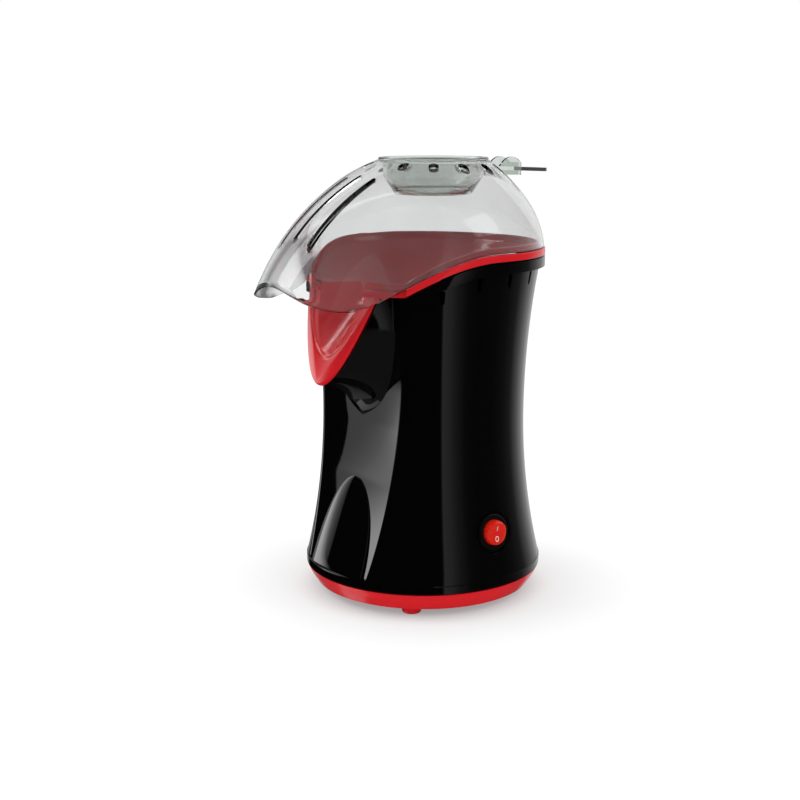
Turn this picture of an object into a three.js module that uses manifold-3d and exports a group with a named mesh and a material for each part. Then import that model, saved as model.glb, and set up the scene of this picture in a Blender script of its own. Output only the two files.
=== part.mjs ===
// Hot-air popcorn maker: hourglass housing, red chute collar, clear hood and measuring cup.
// Millimetres, +Z up, the front faces -Y. Angles round the body are measured from the front, -Y, towards +X.
import * as THREE from "three";
import { mergeVertices } from "three/addons/utils/BufferGeometryUtils.js";
import Module from "manifold-3d";

const wasm = await Module();
wasm.setup();

const DEG = Math.PI / 180;

// ---------- driving dimensions ----------
const FIT_GAP = 0.3; // between pieces that touch
const WALL = 2.2; // moulded housing walls

const FOOT_HEIGHT = 5.3;
const FOOT_RADIUS = 6.8;
const FOOT_CIRCLE = 60; // feet sit on this radius
const FOOT_ANGLES = [45, 135, 225, 315];

const BASE_TOP_Z = 16.6; // red base meets the black housing here
const BASE_TOP_RADIUS = 77;
const BASE_BOTTOM_RADIUS = 71.4;
const BASE_FLOOR = 2.4;
const INTAKE_RADIUS = 40; // air intake slots lie inside this circle
const INTAKE_SLOT = 3.6;
const INTAKE_PITCH = 8;

const BAND_RADIUS = 77.3; // foot band, lip and red band share this radius
const FOOT_BAND_TOP_Z = 22.4;
const FLARE_RADIUS = 76.9; // housing just above the foot band
const POT_RADIUS = 40; // inside of the popping chamber
const WAIST_CLEARANCE = 25.5; // room round the chamber for its duct and the hollow of the front face
const WAIST_RADIUS = POT_RADIUS + WAIST_CLEARANCE;
const WAIST_Z = 118;
const SHOULDER_RADIUS = 72.2;
const SHOULDER_Z = 204;

const RIM_Z = 220; // underside of the red band at the back
const RIM_DROOP = 19; // how far the rim has dropped at DROOP_REACH in front of the axis
const DROOP_REACH = 56;
const DROOP_POWER = 2.3;
const LIP_HEIGHT = 7.5;
const BAND_THICKNESS = 4.7;
const COLLAR_END_ANGLE = 43; // the lip and the red band end this far round from the front

const CREASE_TOP_ANGLE = 40.5; // where the side shell stops and the front panel starts
const CREASE_BASE_ANGLE = 24.5;
const CREASE_TOP_Z = 150;
const FACE_HOLLOW = 2; // how far the front face is hollowed behind its creases, above the tongue
const FACE_HOLLOW_BASE = 1;

const VENT_COUNT = 14;
const VENT_FIRST_ANGLE = 60.5;
const VENT_WIDTH = 3.4;
const VENT_HEIGHT = 8.6;

const HOOD_TOP_Z = 278.6;
const HOOD_TOP_RADIUS = 35;
const HOOD_MOUTH_Y = 7.5; // the mouth and the cup stand this far behind the axis
const HOOD_FOOT_RADIUS = 76.6;
const HOOD_REACH = 116; // nose of the hood in front of the axis
const HOOD_WALL = 2;
const HOOD_NOSE_ANGLE = 28.6; // angular half-width of the nose
const HOOD_NOSE_SQUARENESS = 4;
const HOOD_SKIRT_Z = 193; // lowest edge, beside the chute
const HOOD_NOSE_RISE = 13.8; // arch in the edge at the nose
const HOOD_ARCH_ANGLE = 15; // angular half-width of the arch
const HOOD_SHOULDER_RADIUS = 72;
const HOOD_SHOULDER_Z = 253.2;
const HOOD_BROW_REACH = 91; // the same shoulder, over the nose
const HOOD_BROW_Z = 257.3;
const HOOD_BROW_ANGLE = 90; // angle over which the brow runs out into the shoulder
const HOOD_SLOT_WIDTH = 3;
const HOOD_SLOT_OFFSET = 14.3; // the two outer slots stand this far from the middle one
const HOOD_SLOT_FROM_Y = -49;
const HOOD_SLOT_TO_Y = -98;
const HOOD_HOLE_DIVISIONS = 14; // none at the nose and none at the cup's handle
const HOOD_HOLE_WIDTH = 6.2;
const HOOD_HOLE_LENGTH = 7.8;
const HOOD_HOLE_CIRCLE = 42;

const CUP_RISE = 1.4; // rim of the cup above the hood's mouth
const CUP_RIM_Z = HOOD_TOP_Z + CUP_RISE;
const CUP_TOP_RADIUS = 32.4;
const CUP_KNEE_RADIUS = 31.9;
const CUP_KNEE_Z = CUP_RIM_Z - 12;
const CUP_BOTTOM_RADIUS = 25;
const CUP_DEPTH = 23.2;
const CUP_BOTTOM_Z = CUP_RIM_Z - CUP_DEPTH;
const CUP_WALL = 1.5;
const CUP_CLEARANCE = 0.5; // round the cup in the hood's mouth
const HANDLE_REACH = 104; // handle tip behind the axis
const HANDLE_WIDTH = 13;
const HANDLE_Z = CUP_RIM_Z - 8.2; // underside of the bar where it leaves the cup
const HANDLE_DROP = 2.6; // degrees the bar falls away from the cup
const HANDLE_THICKNESS = 2.4;
const HANDLE_BOX_FROM_Y = 57;
const HANDLE_BOX_TO_Y = 77;
const HANDLE_BOX_TOP_Z = CUP_RIM_Z - 0.8;
const HANDLE_BOX_END_Z = CUP_RIM_Z - 4.6;
const HANDLE_BOX_BOTTOM_Z = CUP_RIM_Z - 12.6;

const SPOUT_TIP_Y = -83;
const SPOUT_TIP_Z = 143.7;
const SPOUT_LEAN = 17.5; // degrees from vertical
const SPOUT_TOP_Z = 201;
const FLANGE_WALL = 2.4;
const CHANNEL_TIP_RISE = 16; // bottom of the channel above the spout's tip
const CHANNEL_SPREAD = 5.1; // half-width of the channel is this times the root of its depth
const CHANNEL_BACK_Y = -POT_RADIUS - 3;
const CHANNEL_BACK_Z = 195.6;
const CHANNEL_HALF_WIDTH = 30;

const BILL_BOTTOM_Z = 121.7;
const BILL_HALF_WIDTH = 38.5;
const BILL_BEAK_HALF_WIDTH = 26; // the beak under the tip swells to this width
const BILL_BEAK_HEIGHT = 11; // height over which it does so

const TONGUE_TOP_Z = 81.4;
const TONGUE_HALF_WIDTH = 26.5;
const TONGUE_BULGE = 4.6;

const SWITCH_Z = 51.1;
const SWITCH_TILT = 9.5; // degrees the switch faces upwards
const SWITCH_BARREL_RADIUS = 10;
const SWITCH_BEZEL_LEDGE = 1.5; // bezel round the barrel
const SWITCH_BEZEL_RADIUS = SWITCH_BARREL_RADIUS + SWITCH_BEZEL_LEDGE;
const SWITCH_RECESS_RADIUS = SWITCH_BEZEL_RADIUS + 2;
const SWITCH_BARREL_LENGTH = 14;
const ROCKER_RADIUS = 8.8;
const ROCKER_CLEARANCE = 0.5;
const ROCKER_TILT = 12; // degrees either side of the middle

const POT_WALL = 1;
const POT_TOP_Z = 189.5;
const POT_FLANGE_WIDTH = 5.4;
const POT_FLANGE_RADIUS = POT_RADIUS + POT_FLANGE_WIDTH;
const LOUVRE_COUNT = 18;
const DUCT_GAP = 3.2; // for air between the chamber and its duct
const DUCT_RADIUS = POT_RADIUS + DUCT_GAP; // inside of the duct
const DUCT_WALL = 1.6;
const FAN_FLOOR_Z = 56;
const FAN_HOUSING_HEIGHT = 32;
const FAN_HOUSING_TOP_Z = FAN_FLOOR_Z + FAN_HOUSING_HEIGHT;
const FAN_INLET_RADIUS = 20;
const HEATER_ROOM = 28; // from the fan housing up to the chamber
const POT_BOTTOM_Z = FAN_HOUSING_TOP_Z + HEATER_ROOM;
const IMPELLER_RADIUS = 37;
const IMPELLER_LIFT = 4; // impeller above the fan housing's floor
const IMPELLER_Z = FAN_FLOOR_Z + IMPELLER_LIFT;
const BLADE_HEIGHT = 13;
const BLADE_COUNT = 12;
const SHAFT_RADIUS = 1.6;
const SHAFT_CLEARANCE = 0.08;
const MOTOR_RADIUS = 14;
const MOTOR_BOTTOM_Z = 15.4;
const STAND_TOP_Z = FAN_FLOOR_Z - 2 * FIT_GAP;
const STAND_PLATE = 3;

const HEATER_HEIGHT = 18;
const COIL_RADIUS = 30;
const COIL_THICKNESS = 2.4;

// ---------- solid tools ----------
function solidOf(geometry, place) {
  if (place) geometry.applyMatrix4(place);
  const bare = new THREE.BufferGeometry();
  bare.setAttribute("position", geometry.getAttribute("position"));
  if (geometry.index) bare.setIndex(geometry.index);
  const merged = mergeVertices(bare, 1e-4);
  const index = merged.index.array;
  const points = merged.getAttribute("position").array;
  const corners = [];
  let volume = 0;
  for (let i = 0; i < index.length; i += 3) {
    const [a, b, c] = [index[i], index[i + 1], index[i + 2]];
    if (a === b || b === c || c === a) continue;
    corners.push(a, b, c);
    const p = [a, b, c].map((n) => new THREE.Vector3().fromArray(points, 3 * n));
    volume += p[0].dot(p[1].cross(p[2]));
  }
  if (volume < 0) corners.reverse();
  return new wasm.Manifold(
    new wasm.Mesh({
      numProp: 3,
      vertProperties: new Float32Array(points),
      triVerts: new Uint32Array(corners),
    }),
  );
}

function meshOf(name, solid, material) {
  const held = solid.getMesh();
  const geometry = new THREE.BufferGeometry();
  geometry.setAttribute("position", new THREE.BufferAttribute(held.vertProperties, 3));
  geometry.setIndex(new THREE.BufferAttribute(held.triVerts, 1));
  geometry.computeVertexNormals();
  const mesh = new THREE.Mesh(geometry, material);
  mesh.name = name;
  return mesh;
}

function joined(solids) {
  return solids.reduce((whole, next) => whole.add(next));
}

function cutAll(solid, cutters) {
  return cutters.length ? solid.subtract(joined(cutters)) : solid;
}

// Skin over a row of rings, each a list of points of the same length. The row is capped, or closed on itself.
function loft(rings, closed = false) {
  const count = rings[0].length;
  const positions = rings.flat().flatMap((p) => [p.x, p.y, p.z]);
  const faces = [];
  const spans = closed ? rings.length : rings.length - 1;
  for (let i = 0; i < spans; i++) {
    const low = i * count;
    const high = ((i + 1) % rings.length) * count;
    for (let j = 0; j < count; j++) {
      const k = (j + 1) % count;
      faces.push(low + j, low + k, high + k, low + j, high + k, high + j);
    }
  }
  if (!closed) {
    faces.push(...cap(rings[0], 0, true));
    faces.push(...cap(rings[rings.length - 1], (rings.length - 1) * count, false));
  }
  const geometry = new THREE.BufferGeometry();
  geometry.setAttribute("position", new THREE.Float32BufferAttribute(positions, 3));
  geometry.setIndex(faces);
  return solidOf(geometry);
}

// Triangles over one flat ring, turned the same way as the ring or against it.
function cap(ring, offset, against) {
  const normal = new THREE.Vector3();
  ring.forEach((p, i) => normal.add(p.clone().cross(ring[(i + 1) % ring.length])));
  const drop = ["x", "y", "z"].reduce((a, b) => (Math.abs(normal[b]) > Math.abs(normal[a]) ? b : a));
  const [u, v] = { x: ["y", "z"], y: ["z", "x"], z: ["x", "y"] }[drop];
  const flat = ring.map((p) => new THREE.Vector2(p[u], p[v]));
  const ringSign = Math.sign(THREE.ShapeUtils.area(flat));
  return THREE.ShapeUtils.triangulateShape(flat, []).flatMap(([a, b, c]) => {
    const sign = Math.sign(THREE.ShapeUtils.area([flat[a], flat[b], flat[c]])) || ringSign;
    const same = sign === ringSign;
    return same !== against ? [a + offset, b + offset, c + offset] : [a + offset, c + offset, b + offset];
  });
}

// Turned solid: profile is a list of [radius, height], closed on itself or by the axis.
function turned(profile, segments = 48, place = null) {
  const points = profile.map(([r, z]) => new THREE.Vector2(r, z));
  if (profile[0][0] > 0 || profile[profile.length - 1][0] > 0) points.push(points[0]);
  return solidOf(new THREE.LatheGeometry(points, segments).rotateX(Math.PI / 2), place);
}

function tube(inner, outer, low, high, segments = 48, place = null) {
  return turned([[inner, low], [outer, low], [outer, high], [inner, high]], segments, place);
}

function rod(radius, low, high, segments = 32, place = null) {
  return turned([[0, low], [radius, low], [radius, high], [0, high]], segments, place);
}

function block(x0, x1, y0, y1, z0, z1, place = null) {
  const geometry = new THREE.BoxGeometry(x1 - x0, y1 - y0, z1 - z0);
  return solidOf(geometry.translate((x0 + x1) / 2, (y0 + y1) / 2, (z0 + z1) / 2), place);
}

// A flat outline given its thickness, upwards from height low.
function plate(shape, low, high, place = null, curveSegments = 6) {
  const options = { depth: high - low, bevelEnabled: false, curveSegments };
  return solidOf(new THREE.ExtrudeGeometry(shape, options).translate(0, 0, low), place);
}

function move(x, y, z) {
  return new THREE.Matrix4().makeTranslation(x, y, z);
}

function turn(angle) {
  return new THREE.Matrix4().makeRotationZ(angle * DEG);
}

// Turned to an angle and moved out from the axis.
function standingAt(angle, circle) {
  return turn(angle).multiply(move(0, -circle, 0));
}

// A slot with round ends: width across, length along its second axis, centred.
function stadium(width, length) {
  const r = width / 2;
  const half = length / 2 - r;
  const shape = new THREE.Shape();
  shape.absarc(0, half, r, 0, Math.PI);
  shape.absarc(0, -half, r, Math.PI, 2 * Math.PI);
  return shape;
}

function polar(radius, angle, z) {
  return new THREE.Vector3(radius * Math.sin(angle * DEG), -radius * Math.cos(angle * DEG), z);
}

// Local Z points outwards through the wall at this angle and height, tilted up by tilt; local X points up.
function wallFrame(radius, angle, z, tilt = 0) {
  const out = polar(Math.cos(tilt * DEG), angle, Math.sin(tilt * DEG));
  const up = polar(-Math.sin(tilt * DEG), angle, Math.cos(tilt * DEG));
  const frame = new THREE.Matrix4().makeBasis(up, out.clone().cross(up), out);
  return frame.setPosition(polar(radius, angle, z));
}

function spread(count, from, to) {
  return Array.from({ length: count }, (_, i) => from + ((to - from) * i) / (count - 1));
}

// ---------- outline of the housing ----------
function housingRadius(z) {
  const below = (WAIST_Z - z) / (WAIST_Z - FOOT_BAND_TOP_Z);
  const above = (z - WAIST_Z) / (SHOULDER_Z - WAIST_Z);
  if (z < WAIST_Z) return WAIST_RADIUS + (FLARE_RADIUS - WAIST_RADIUS) * below ** 2;
  return WAIST_RADIUS + (SHOULDER_RADIUS - WAIST_RADIUS) * above ** 2;
}

// Height of the rim, the underside of the red band, at an angle round from the front.
function rimHeight(angle, offset = 0) {
  const forward = Math.max(0, BAND_RADIUS * Math.cos(angle * DEG)) / DROOP_REACH;
  return RIM_Z - RIM_DROOP * forward ** DROOP_POWER + offset;
}

function creaseAngle(z) {
  const drop = Math.max(0, (CREASE_TOP_Z - z) / (CREASE_TOP_Z - FOOT_BAND_TOP_Z));
  return CREASE_TOP_ANGLE - (CREASE_TOP_ANGLE - CREASE_BASE_ANGLE) * Math.min(1, drop) ** 1.6;
}

// Depth of the front face, as -y, at a height and a share across from the middle, 0, to the crease, 1.
function faceDepth(z, share, inset = 0) {
  const angle = creaseAngle(z) * DEG;
  const hollow = THREE.MathUtils.clamp((z - TONGUE_TOP_Z) / (WAIST_Z - TONGUE_TOP_Z), 0, 1);
  const sagitta = FACE_HOLLOW_BASE + (FACE_HOLLOW - FACE_HOLLOW_BASE) * hollow;
  return (housingRadius(z) - inset) * Math.cos(angle) - sagitta * (1 - share ** 2);
}

function creaseX(z, inset = 0) {
  return (housingRadius(z) - inset) * Math.sin(creaseAngle(z) * DEG);
}

// Depth of the spout's flange plane, as -y.
function flangeDepth(z) {
  return -SPOUT_TIP_Y - (z - SPOUT_TIP_Z) * Math.tan(SPOUT_LEAN * DEG);
}

function flangeHalfWidth(z) {
  return 30 * Math.max(0, (z - SPOUT_TIP_Z) / 44) ** 0.58;
}

// The housing is cut, and the front panel built, at these same heights, so that their edges run side by side.
function creaseHeights() {
  return spread(14, FOOT_BAND_TOP_Z + FIT_GAP, PANEL_TOP_Z);
}

// The wedge between the two creases, between two radii.
function frontWedge(inner, outer) {
  const rings = [FOOT_BAND_TOP_Z, ...creaseHeights(), RIM_Z].map((z) => {
    const half = creaseAngle(z);
    const across = spread(5, -half, half);
    return [
      ...across.map((a) => polar(outer, a, z)),
      ...across.reverse().map((a) => polar(inner, a, z)),
    ];
  });
  return loft(rings);
}

// ---------- materials ----------
function finish(color, roughness, metalness = 0, extra = {}) {
  return new THREE.MeshStandardMaterial({ color, roughness, metalness, ...extra });
}
const BLACK_GLOSS = finish(0x0a0a0b, 0.12);
const RED_GLOSS = finish(0xc8141c, 0.25);
const SMOKE_CLEAR = finish(0xc8cccb, 0.06, 0, { transparent: true, opacity: 0.35 });
const ALUMINIUM = finish(0xc9c9c6, 0.35, 1);
const STEEL = finish(0x8f9194, 0.4, 1);
const BLACK_MATTE = finish(0x1c1c1d, 0.6);
const SWITCH_RED = finish(0xb5121a, 0.18);
const MICA_TAN = finish(0xb49a6a, 0.7);
const CERAMIC = finish(0xe8e4da, 0.5);
const BOARD_GREEN = finish(0x2f6b3f, 0.55);

// ---------- housing ----------
const FRONT_REACH = 36; // a sweep takes its own steps up to this angle each side of the front
const SIDE_REACH = 90; // and finer ones up to here, where the rim droops
const COLLAR_END_ROUND = 1.5; // degrees over which the lip and the band round off
const SCREW_ANGLES = [60, 120, 240, 300];
const SCREW_CIRCLE = 63;
const SCREW_RADIUS = 1.5;
const SCREW_BOSS_RADIUS = 4;
const SCREW_BOSS_TOP_Z = 32;
const SCREW_END_Z = 20;
const GLAND_Z = 34;
const GLAND_ANGLE = 180;
const GLAND_TILT = 12; // degrees, square to the wall
const GLAND_RADIUS = 4.6;
const SILL_Y = -66; // back edge of the sill under the front panel
const SWITCH_DEPTH = 1.5; // recess below the wall at the switch's middle
const SWITCH_PAD = 2.2;

// 1 where the lip and the band stand out, 0 in front of their rounded ends.
function collarShare(angle) {
  const fromFront = Math.abs(angle > 180 ? angle - 360 : angle);
  return Math.sqrt(THREE.MathUtils.clamp((fromFront - COLLAR_END_ANGLE) / COLLAR_END_ROUND, 0, 1));
}

// Angles of a sweep all the way round, with frontSteps of them across the front.
function sweepAngles(frontSteps) {
  const front = spread(frontSteps, -FRONT_REACH, FRONT_REACH);
  const side = spread(6, FRONT_REACH + 9, SIDE_REACH);
  const rear = spread(12, SIDE_REACH + 13, 360 - SIDE_REACH - 13);
  return [...front, ...side, ...rear, ...side.map((a) => 360 - a).reverse()];
}

// The same, with the rounded ends of the lip and the band.
function rimAngles() {
  const ends = [0, 0.3, 1].map((t) => COLLAR_END_ANGLE + t * COLLAR_END_ROUND);
  return [...sweepAngles(9), ...ends, ...ends.map((a) => 360 - a)].sort((a, b) => a - b);
}

function shellSection(angle) {
  const rim = rimHeight(angle) - FIT_GAP;
  const under = rimHeight(angle) - LIP_HEIGHT;
  const lip = SHOULDER_RADIUS + (BAND_RADIUS - SHOULDER_RADIUS) * collarShare(angle);
  const heights = spread(6, FOOT_BAND_TOP_Z, under);
  const outside = heights.map((z) => [housingRadius(z), z]);
  const inside = heights.map((z) => [housingRadius(z) - WALL, z]).reverse();
  const low = BASE_TOP_Z + FIT_GAP;
  return [
    [BAND_RADIUS - WALL, low],
    [BAND_RADIUS, low],
    [BAND_RADIUS, FOOT_BAND_TOP_Z],
    ...outside,
    [lip, under + 0.3],
    [lip, rim],
    [SHOULDER_RADIUS - WALL, rim],
    ...inside,
  ].map(([r, z]) => polar(r, angle, z));
}

function sill() {
  const reach = creaseAngle(FOOT_BAND_TOP_Z) + 4;
  const shape = new THREE.Shape();
  const r = BAND_RADIUS - WALL / 2;
  shape.absarc(0, 0, r, (-90 - reach) * DEG, (-90 + reach) * DEG);
  shape.lineTo(r * Math.sin(reach * DEG), SILL_Y);
  shape.lineTo(-r * Math.sin(reach * DEG), SILL_Y);
  return plate(shape, BASE_TOP_Z + FIT_GAP, FOOT_BAND_TOP_Z, null, 10);
}

function screwBoss(angle) {
  const place = standingAt(angle, SCREW_CIRCLE);
  const low = BASE_FLOOR + FOOT_HEIGHT + FIT_GAP;
  const web = (housingRadius(SCREW_BOSS_TOP_Z) - WALL / 2) - SCREW_CIRCLE;
  const boss = rod(SCREW_BOSS_RADIUS, low, SCREW_BOSS_TOP_Z, 10, place);
  return boss.add(block(-1, 1, -web, 0, BASE_TOP_Z + 2, SCREW_BOSS_TOP_Z, place));
}

function ventCutter(angle) {
  const z = rimHeight(angle) - LIP_HEIGHT - VENT_HEIGHT / 2 - 0.6;
  const frame = wallFrame(SHOULDER_RADIUS, angle, z);
  const shape = new THREE.Shape();
  const r = VENT_WIDTH / 2;
  shape.moveTo(VENT_HEIGHT / 2, -r);
  shape.lineTo(VENT_HEIGHT / 2, r);
  shape.lineTo(-VENT_HEIGHT / 2 + r, r * 0.8);
  shape.absarc(-VENT_HEIGHT / 2 + r, 0, r * 0.8, Math.PI / 2, Math.PI * 1.5);
  return plate(shape, -WALL - 3, 4, frame, 2);
}

function switchFrame() {
  return wallFrame(housingRadius(SWITCH_Z), 90, SWITCH_Z, SWITCH_TILT);
}

function outerShell() {
  let solid = loft(rimAngles().map(shellSection), true);
  solid = solid.subtract(frontWedge(WAIST_RADIUS - 3 * WALL, BAND_RADIUS + WALL));
  solid = joined([solid, sill(), ...SCREW_ANGLES.map(screwBoss)]);
  const padFace = -SWITCH_DEPTH + 0.4;
  const pad = rod(SWITCH_RECESS_RADIUS + 2, -SWITCH_DEPTH - SWITCH_PAD, padFace, 20, switchFrame());
  const switchCuts = [
    rod(SWITCH_RECESS_RADIUS, -SWITCH_DEPTH, 6, 28, switchFrame()),
    rod(SWITCH_BARREL_RADIUS + 2 * FIT_GAP, -9, 6, 24, switchFrame()),
  ];
  const wallAtGland = wallFrame(housingRadius(GLAND_Z), GLAND_ANGLE, GLAND_Z, GLAND_TILT);
  return cutAll(solid.add(pad), [
    ...switchCuts,
    ...spread(VENT_COUNT, VENT_FIRST_ANGLE, 360 - VENT_FIRST_ANGLE).map(ventCutter),
    ...SCREW_ANGLES.map((angle) =>
      rod(SCREW_RADIUS + FIT_GAP, 0, SCREW_END_Z + 1, 10, standingAt(angle, SCREW_CIRCLE)),
    ),
    rod(GLAND_RADIUS + FIT_GAP, -8, 8, 20, wallAtGland),
  ]);
}

// ---------- front panel, with the spout's black bill and the tongue ----------
const PANEL_TOP_Z = 200;
const BILL_FULL_Z = 180; // the bill has its full width from here up
const BILL_WALL = 2.2;
const BILL_PULL = { x: 0.8, y: 0.58, z: 0.09 }; // how its sides curve between the flange and the face

function faceSlice(z) {
  const gap = FIT_GAP / (housingRadius(z) * DEG);
  const half = creaseAngle(z) - gap;
  const slice = (inset) =>
    spread(7, -1, 1).map((share) => {
      const edge = (housingRadius(z) - inset) * Math.sin(half * DEG);
      return new THREE.Vector3(share * edge, -faceDepth(z, share, inset), z);
    });
  return [...slice(0), ...slice(WALL).reverse()];
}

// Half-width of the bill where it leaves the face.
function billHalfWidth(z) {
  const rise = THREE.MathUtils.clamp(z - BILL_BOTTOM_Z, 0, BILL_FULL_Z - BILL_BOTTOM_Z);
  const beak = BILL_BEAK_HALF_WIDTH * (1 - Math.exp(-rise / BILL_BEAK_HEIGHT));
  return beak + ((BILL_HALF_WIDTH - BILL_BEAK_HALF_WIDTH) * rise) / (BILL_FULL_Z - BILL_BOTTOM_Z);
}

// One ring of the bill, from the flange's plane, 0, back to its foot on the face, 1, drawn in by inset.
function billRing(back, inset) {
  return spread(15, -1, 1).map((u) => {
    const share = Math.abs(u);
    const side = Math.sign(u);
    const edgeZ = SPOUT_TIP_Z + (PANEL_TOP_Z - SPOUT_TIP_Z) * share ** 1.8;
    const footZ = BILL_BOTTOM_Z + (PANEL_TOP_Z - BILL_BOTTOM_Z) * share ** 1.4;
    const footX = billHalfWidth(footZ);
    const edge = new THREE.Vector3(flangeHalfWidth(edgeZ), -flangeDepth(edgeZ), edgeZ);
    const foot = new THREE.Vector3(footX, -faceDepth(footZ, Math.min(1, footX / creaseX(footZ))), footZ);
    const pull = new THREE.Vector3(
      THREE.MathUtils.lerp(edge.x, foot.x, BILL_PULL.x),
      THREE.MathUtils.lerp(edge.y, foot.y, BILL_PULL.y),
      THREE.MathUtils.lerp(edge.z, foot.z, BILL_PULL.z),
    );
    const point = new THREE.QuadraticBezierCurve3(edge, pull, foot).getPoint(Math.min(1, back));
    const across = Math.max(0, point.x - inset * Math.sqrt(share));
    return new THREE.Vector3(side * across, point.y, point.z + inset * (1 - share));
  });
}

function billSkin(inset, sunk) {
  const rings = spread(6, 0, 1).map((back) => billRing(back, inset));
  const root = billRing(1, inset);
  root.forEach((p) => (p.y += sunk));
  return loft([...rings, root]);
}

// Everything in front of the spout's flange plane, moved back by depth.
function beforeFlange(depth) {
  const place = move(0, SPOUT_TIP_Y, SPOUT_TIP_Z).multiply(
    new THREE.Matrix4().makeRotationX(-SPOUT_LEAN * DEG),
  );
  return block(-90, 90, -90, depth, -90, 120, place);
}

function tongue() {
  const rings = spread(10, 0, 1).map((t) => {
    const rise = Math.sin((t * Math.PI) / 2) * 0.999;
    const z = FOOT_BAND_TOP_Z + FIT_GAP + rise * (TONGUE_TOP_Z - FOOT_BAND_TOP_Z - FIT_GAP);
    const width = TONGUE_HALF_WIDTH * Math.sqrt(1 - rise ** 2);
    const bulge = TONGUE_BULGE * (1.25 - 1.05 * rise ** 1.5);
    const front = spread(13, -90, 90).map((a) => {
      const x = width * Math.sin(a * DEG);
      const depth = faceDepth(z, Math.min(1, Math.abs(x) / creaseX(z)));
      return new THREE.Vector3(x, -depth - bulge * Math.cos(a * DEG) ** 0.7, z);
    });
    const rear = -faceDepth(z, 0) + WALL / 2;
    return [...front, new THREE.Vector3(width * 0.98, rear, z), new THREE.Vector3(-width * 0.98, rear, z)];
  });
  return loft(rings);
}

// The space that the collar's funnel takes over the panel's top edge.
function underFunnel() {
  const seat = POT_TOP_Z + FIT_GAP;
  return turned(
    [
      [0, seat - FIT_GAP],
      [POT_FLANGE_RADIUS, seat - FIT_GAP],
      [FUNNEL_RIM, COLLAR_FRONT_Z - FIT_GAP],
      [FUNNEL_RIM, RIM_Z],
      [0, RIM_Z],
    ],
    45,
  );
}

function frontPanel() {
  const face = loft(creaseHeights().map(faceSlice));
  const outside = joined([face, billSkin(0, WALL / 2), tongue()]);
  return cutAll(outside, [billSkin(BILL_WALL, 3 * WALL), beforeFlange(FLANGE_WALL + FIT_GAP), underFunnel()]);
}

// ---------- red base ----------
const BOARD = { x: 14, y0: 43, y1: 59, z: 13 };
const STAND_LEG_CIRCLE = 46.5;
const STAND_ANGLES = [45, 135, 225, 315];
const RIB_THICKNESS = 1.6;

function intakeSlots() {
  const count = Math.floor((INTAKE_RADIUS - INTAKE_SLOT) / INTAKE_PITCH);
  return spread(2 * count + 1, -count, count).map((i) => {
    const x = i * INTAKE_PITCH;
    const length = 2 * Math.sqrt(INTAKE_RADIUS ** 2 - x ** 2);
    return plate(stadium(INTAKE_SLOT, length), 0, BASE_TOP_Z, move(x, 0, 0), 2);
  });
}

function baseTray() {
  const floor = FOOT_HEIGHT + BASE_FLOOR;
  const side = BASE_TOP_RADIUS - BASE_BOTTOM_RADIUS;
  const dish = turned(
    [
      [0, FOOT_HEIGHT],
      [BASE_BOTTOM_RADIUS - 1.2, FOOT_HEIGHT],
      [BASE_BOTTOM_RADIUS, FOOT_HEIGHT + 1.2],
      [BASE_BOTTOM_RADIUS + 0.75 * side, FOOT_HEIGHT + 8],
      [BASE_TOP_RADIUS, BASE_TOP_Z],
      [BASE_TOP_RADIUS - WALL, BASE_TOP_Z],
      [BASE_BOTTOM_RADIUS + 0.75 * side - WALL, FOOT_HEIGHT + 8],
      [BASE_BOTTOM_RADIUS - WALL, floor],
      [0, floor],
    ],
    36,
  );
  const ribs = [-1, 1].map((s) =>
    block(s * BOARD.x - RIB_THICKNESS, s * BOARD.x + RIB_THICKNESS, BOARD.y0, BOARD.y1, floor - 1, BOARD.z),
  );
  return cutAll(joined([dish, ...ribs]), [
    ...intakeSlots(),
    ...SCREW_ANGLES.map((angle) =>
      rod(SCREW_RADIUS + FIT_GAP, 0, floor + 1, 10, standingAt(angle, SCREW_CIRCLE)),
    ),
    ...FOOT_ANGLES.map((angle) =>
      rod(FOOT_STEM_RADIUS + FIT_GAP, 0, floor + 1, 12, standingAt(angle, FOOT_CIRCLE)),
    ),
  ]);
}

const FOOT_STEM_RADIUS = 2.6;

function foot(angle) {
  const top = FOOT_HEIGHT - FIT_GAP;
  const profile = [
    [0, 0],
    [FOOT_RADIUS - 1.6, 0],
    [FOOT_RADIUS - 0.6, 1],
    [FOOT_RADIUS, top],
    [FOOT_STEM_RADIUS, top],
    [FOOT_STEM_RADIUS, FOOT_HEIGHT + BASE_FLOOR],
    [0, FOOT_HEIGHT + BASE_FLOOR],
  ];
  return turned(profile, 10, standingAt(angle, FOOT_CIRCLE));
}

function baseScrew(angle) {
  const head = FOOT_HEIGHT - FIT_GAP;
  const profile = [
    [0, head - 1.8],
    [2.2, head - 1.8],
    [3.2, head - 0.8],
    [3.2, head],
    [SCREW_RADIUS, head],
    [SCREW_RADIUS, SCREW_END_Z - 1.2],
    [0.3, SCREW_END_Z],
    [0, SCREW_END_Z],
  ];
  return turned(profile, 8, standingAt(angle, SCREW_CIRCLE));
}

// ---------- red collar: band, skirt, funnel, channel and spout flange ----------
const SKIRT_RADIUS = 73.5;
const SKIRT_WALL = 1.8;
const SKIRT_RISE = 4; // above the band, inside the hood
const FUNNEL_MOUTH = POT_RADIUS + 0.5;
const FUNNEL_RIM = SKIRT_RADIUS - SKIRT_WALL - 2.7; // the funnel's underside meets the rim here
const FUNNEL_DEPTH = 3; // top of the funnel's slope above the rim
const COLLAR_FRONT_Z = 200.3;

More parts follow.
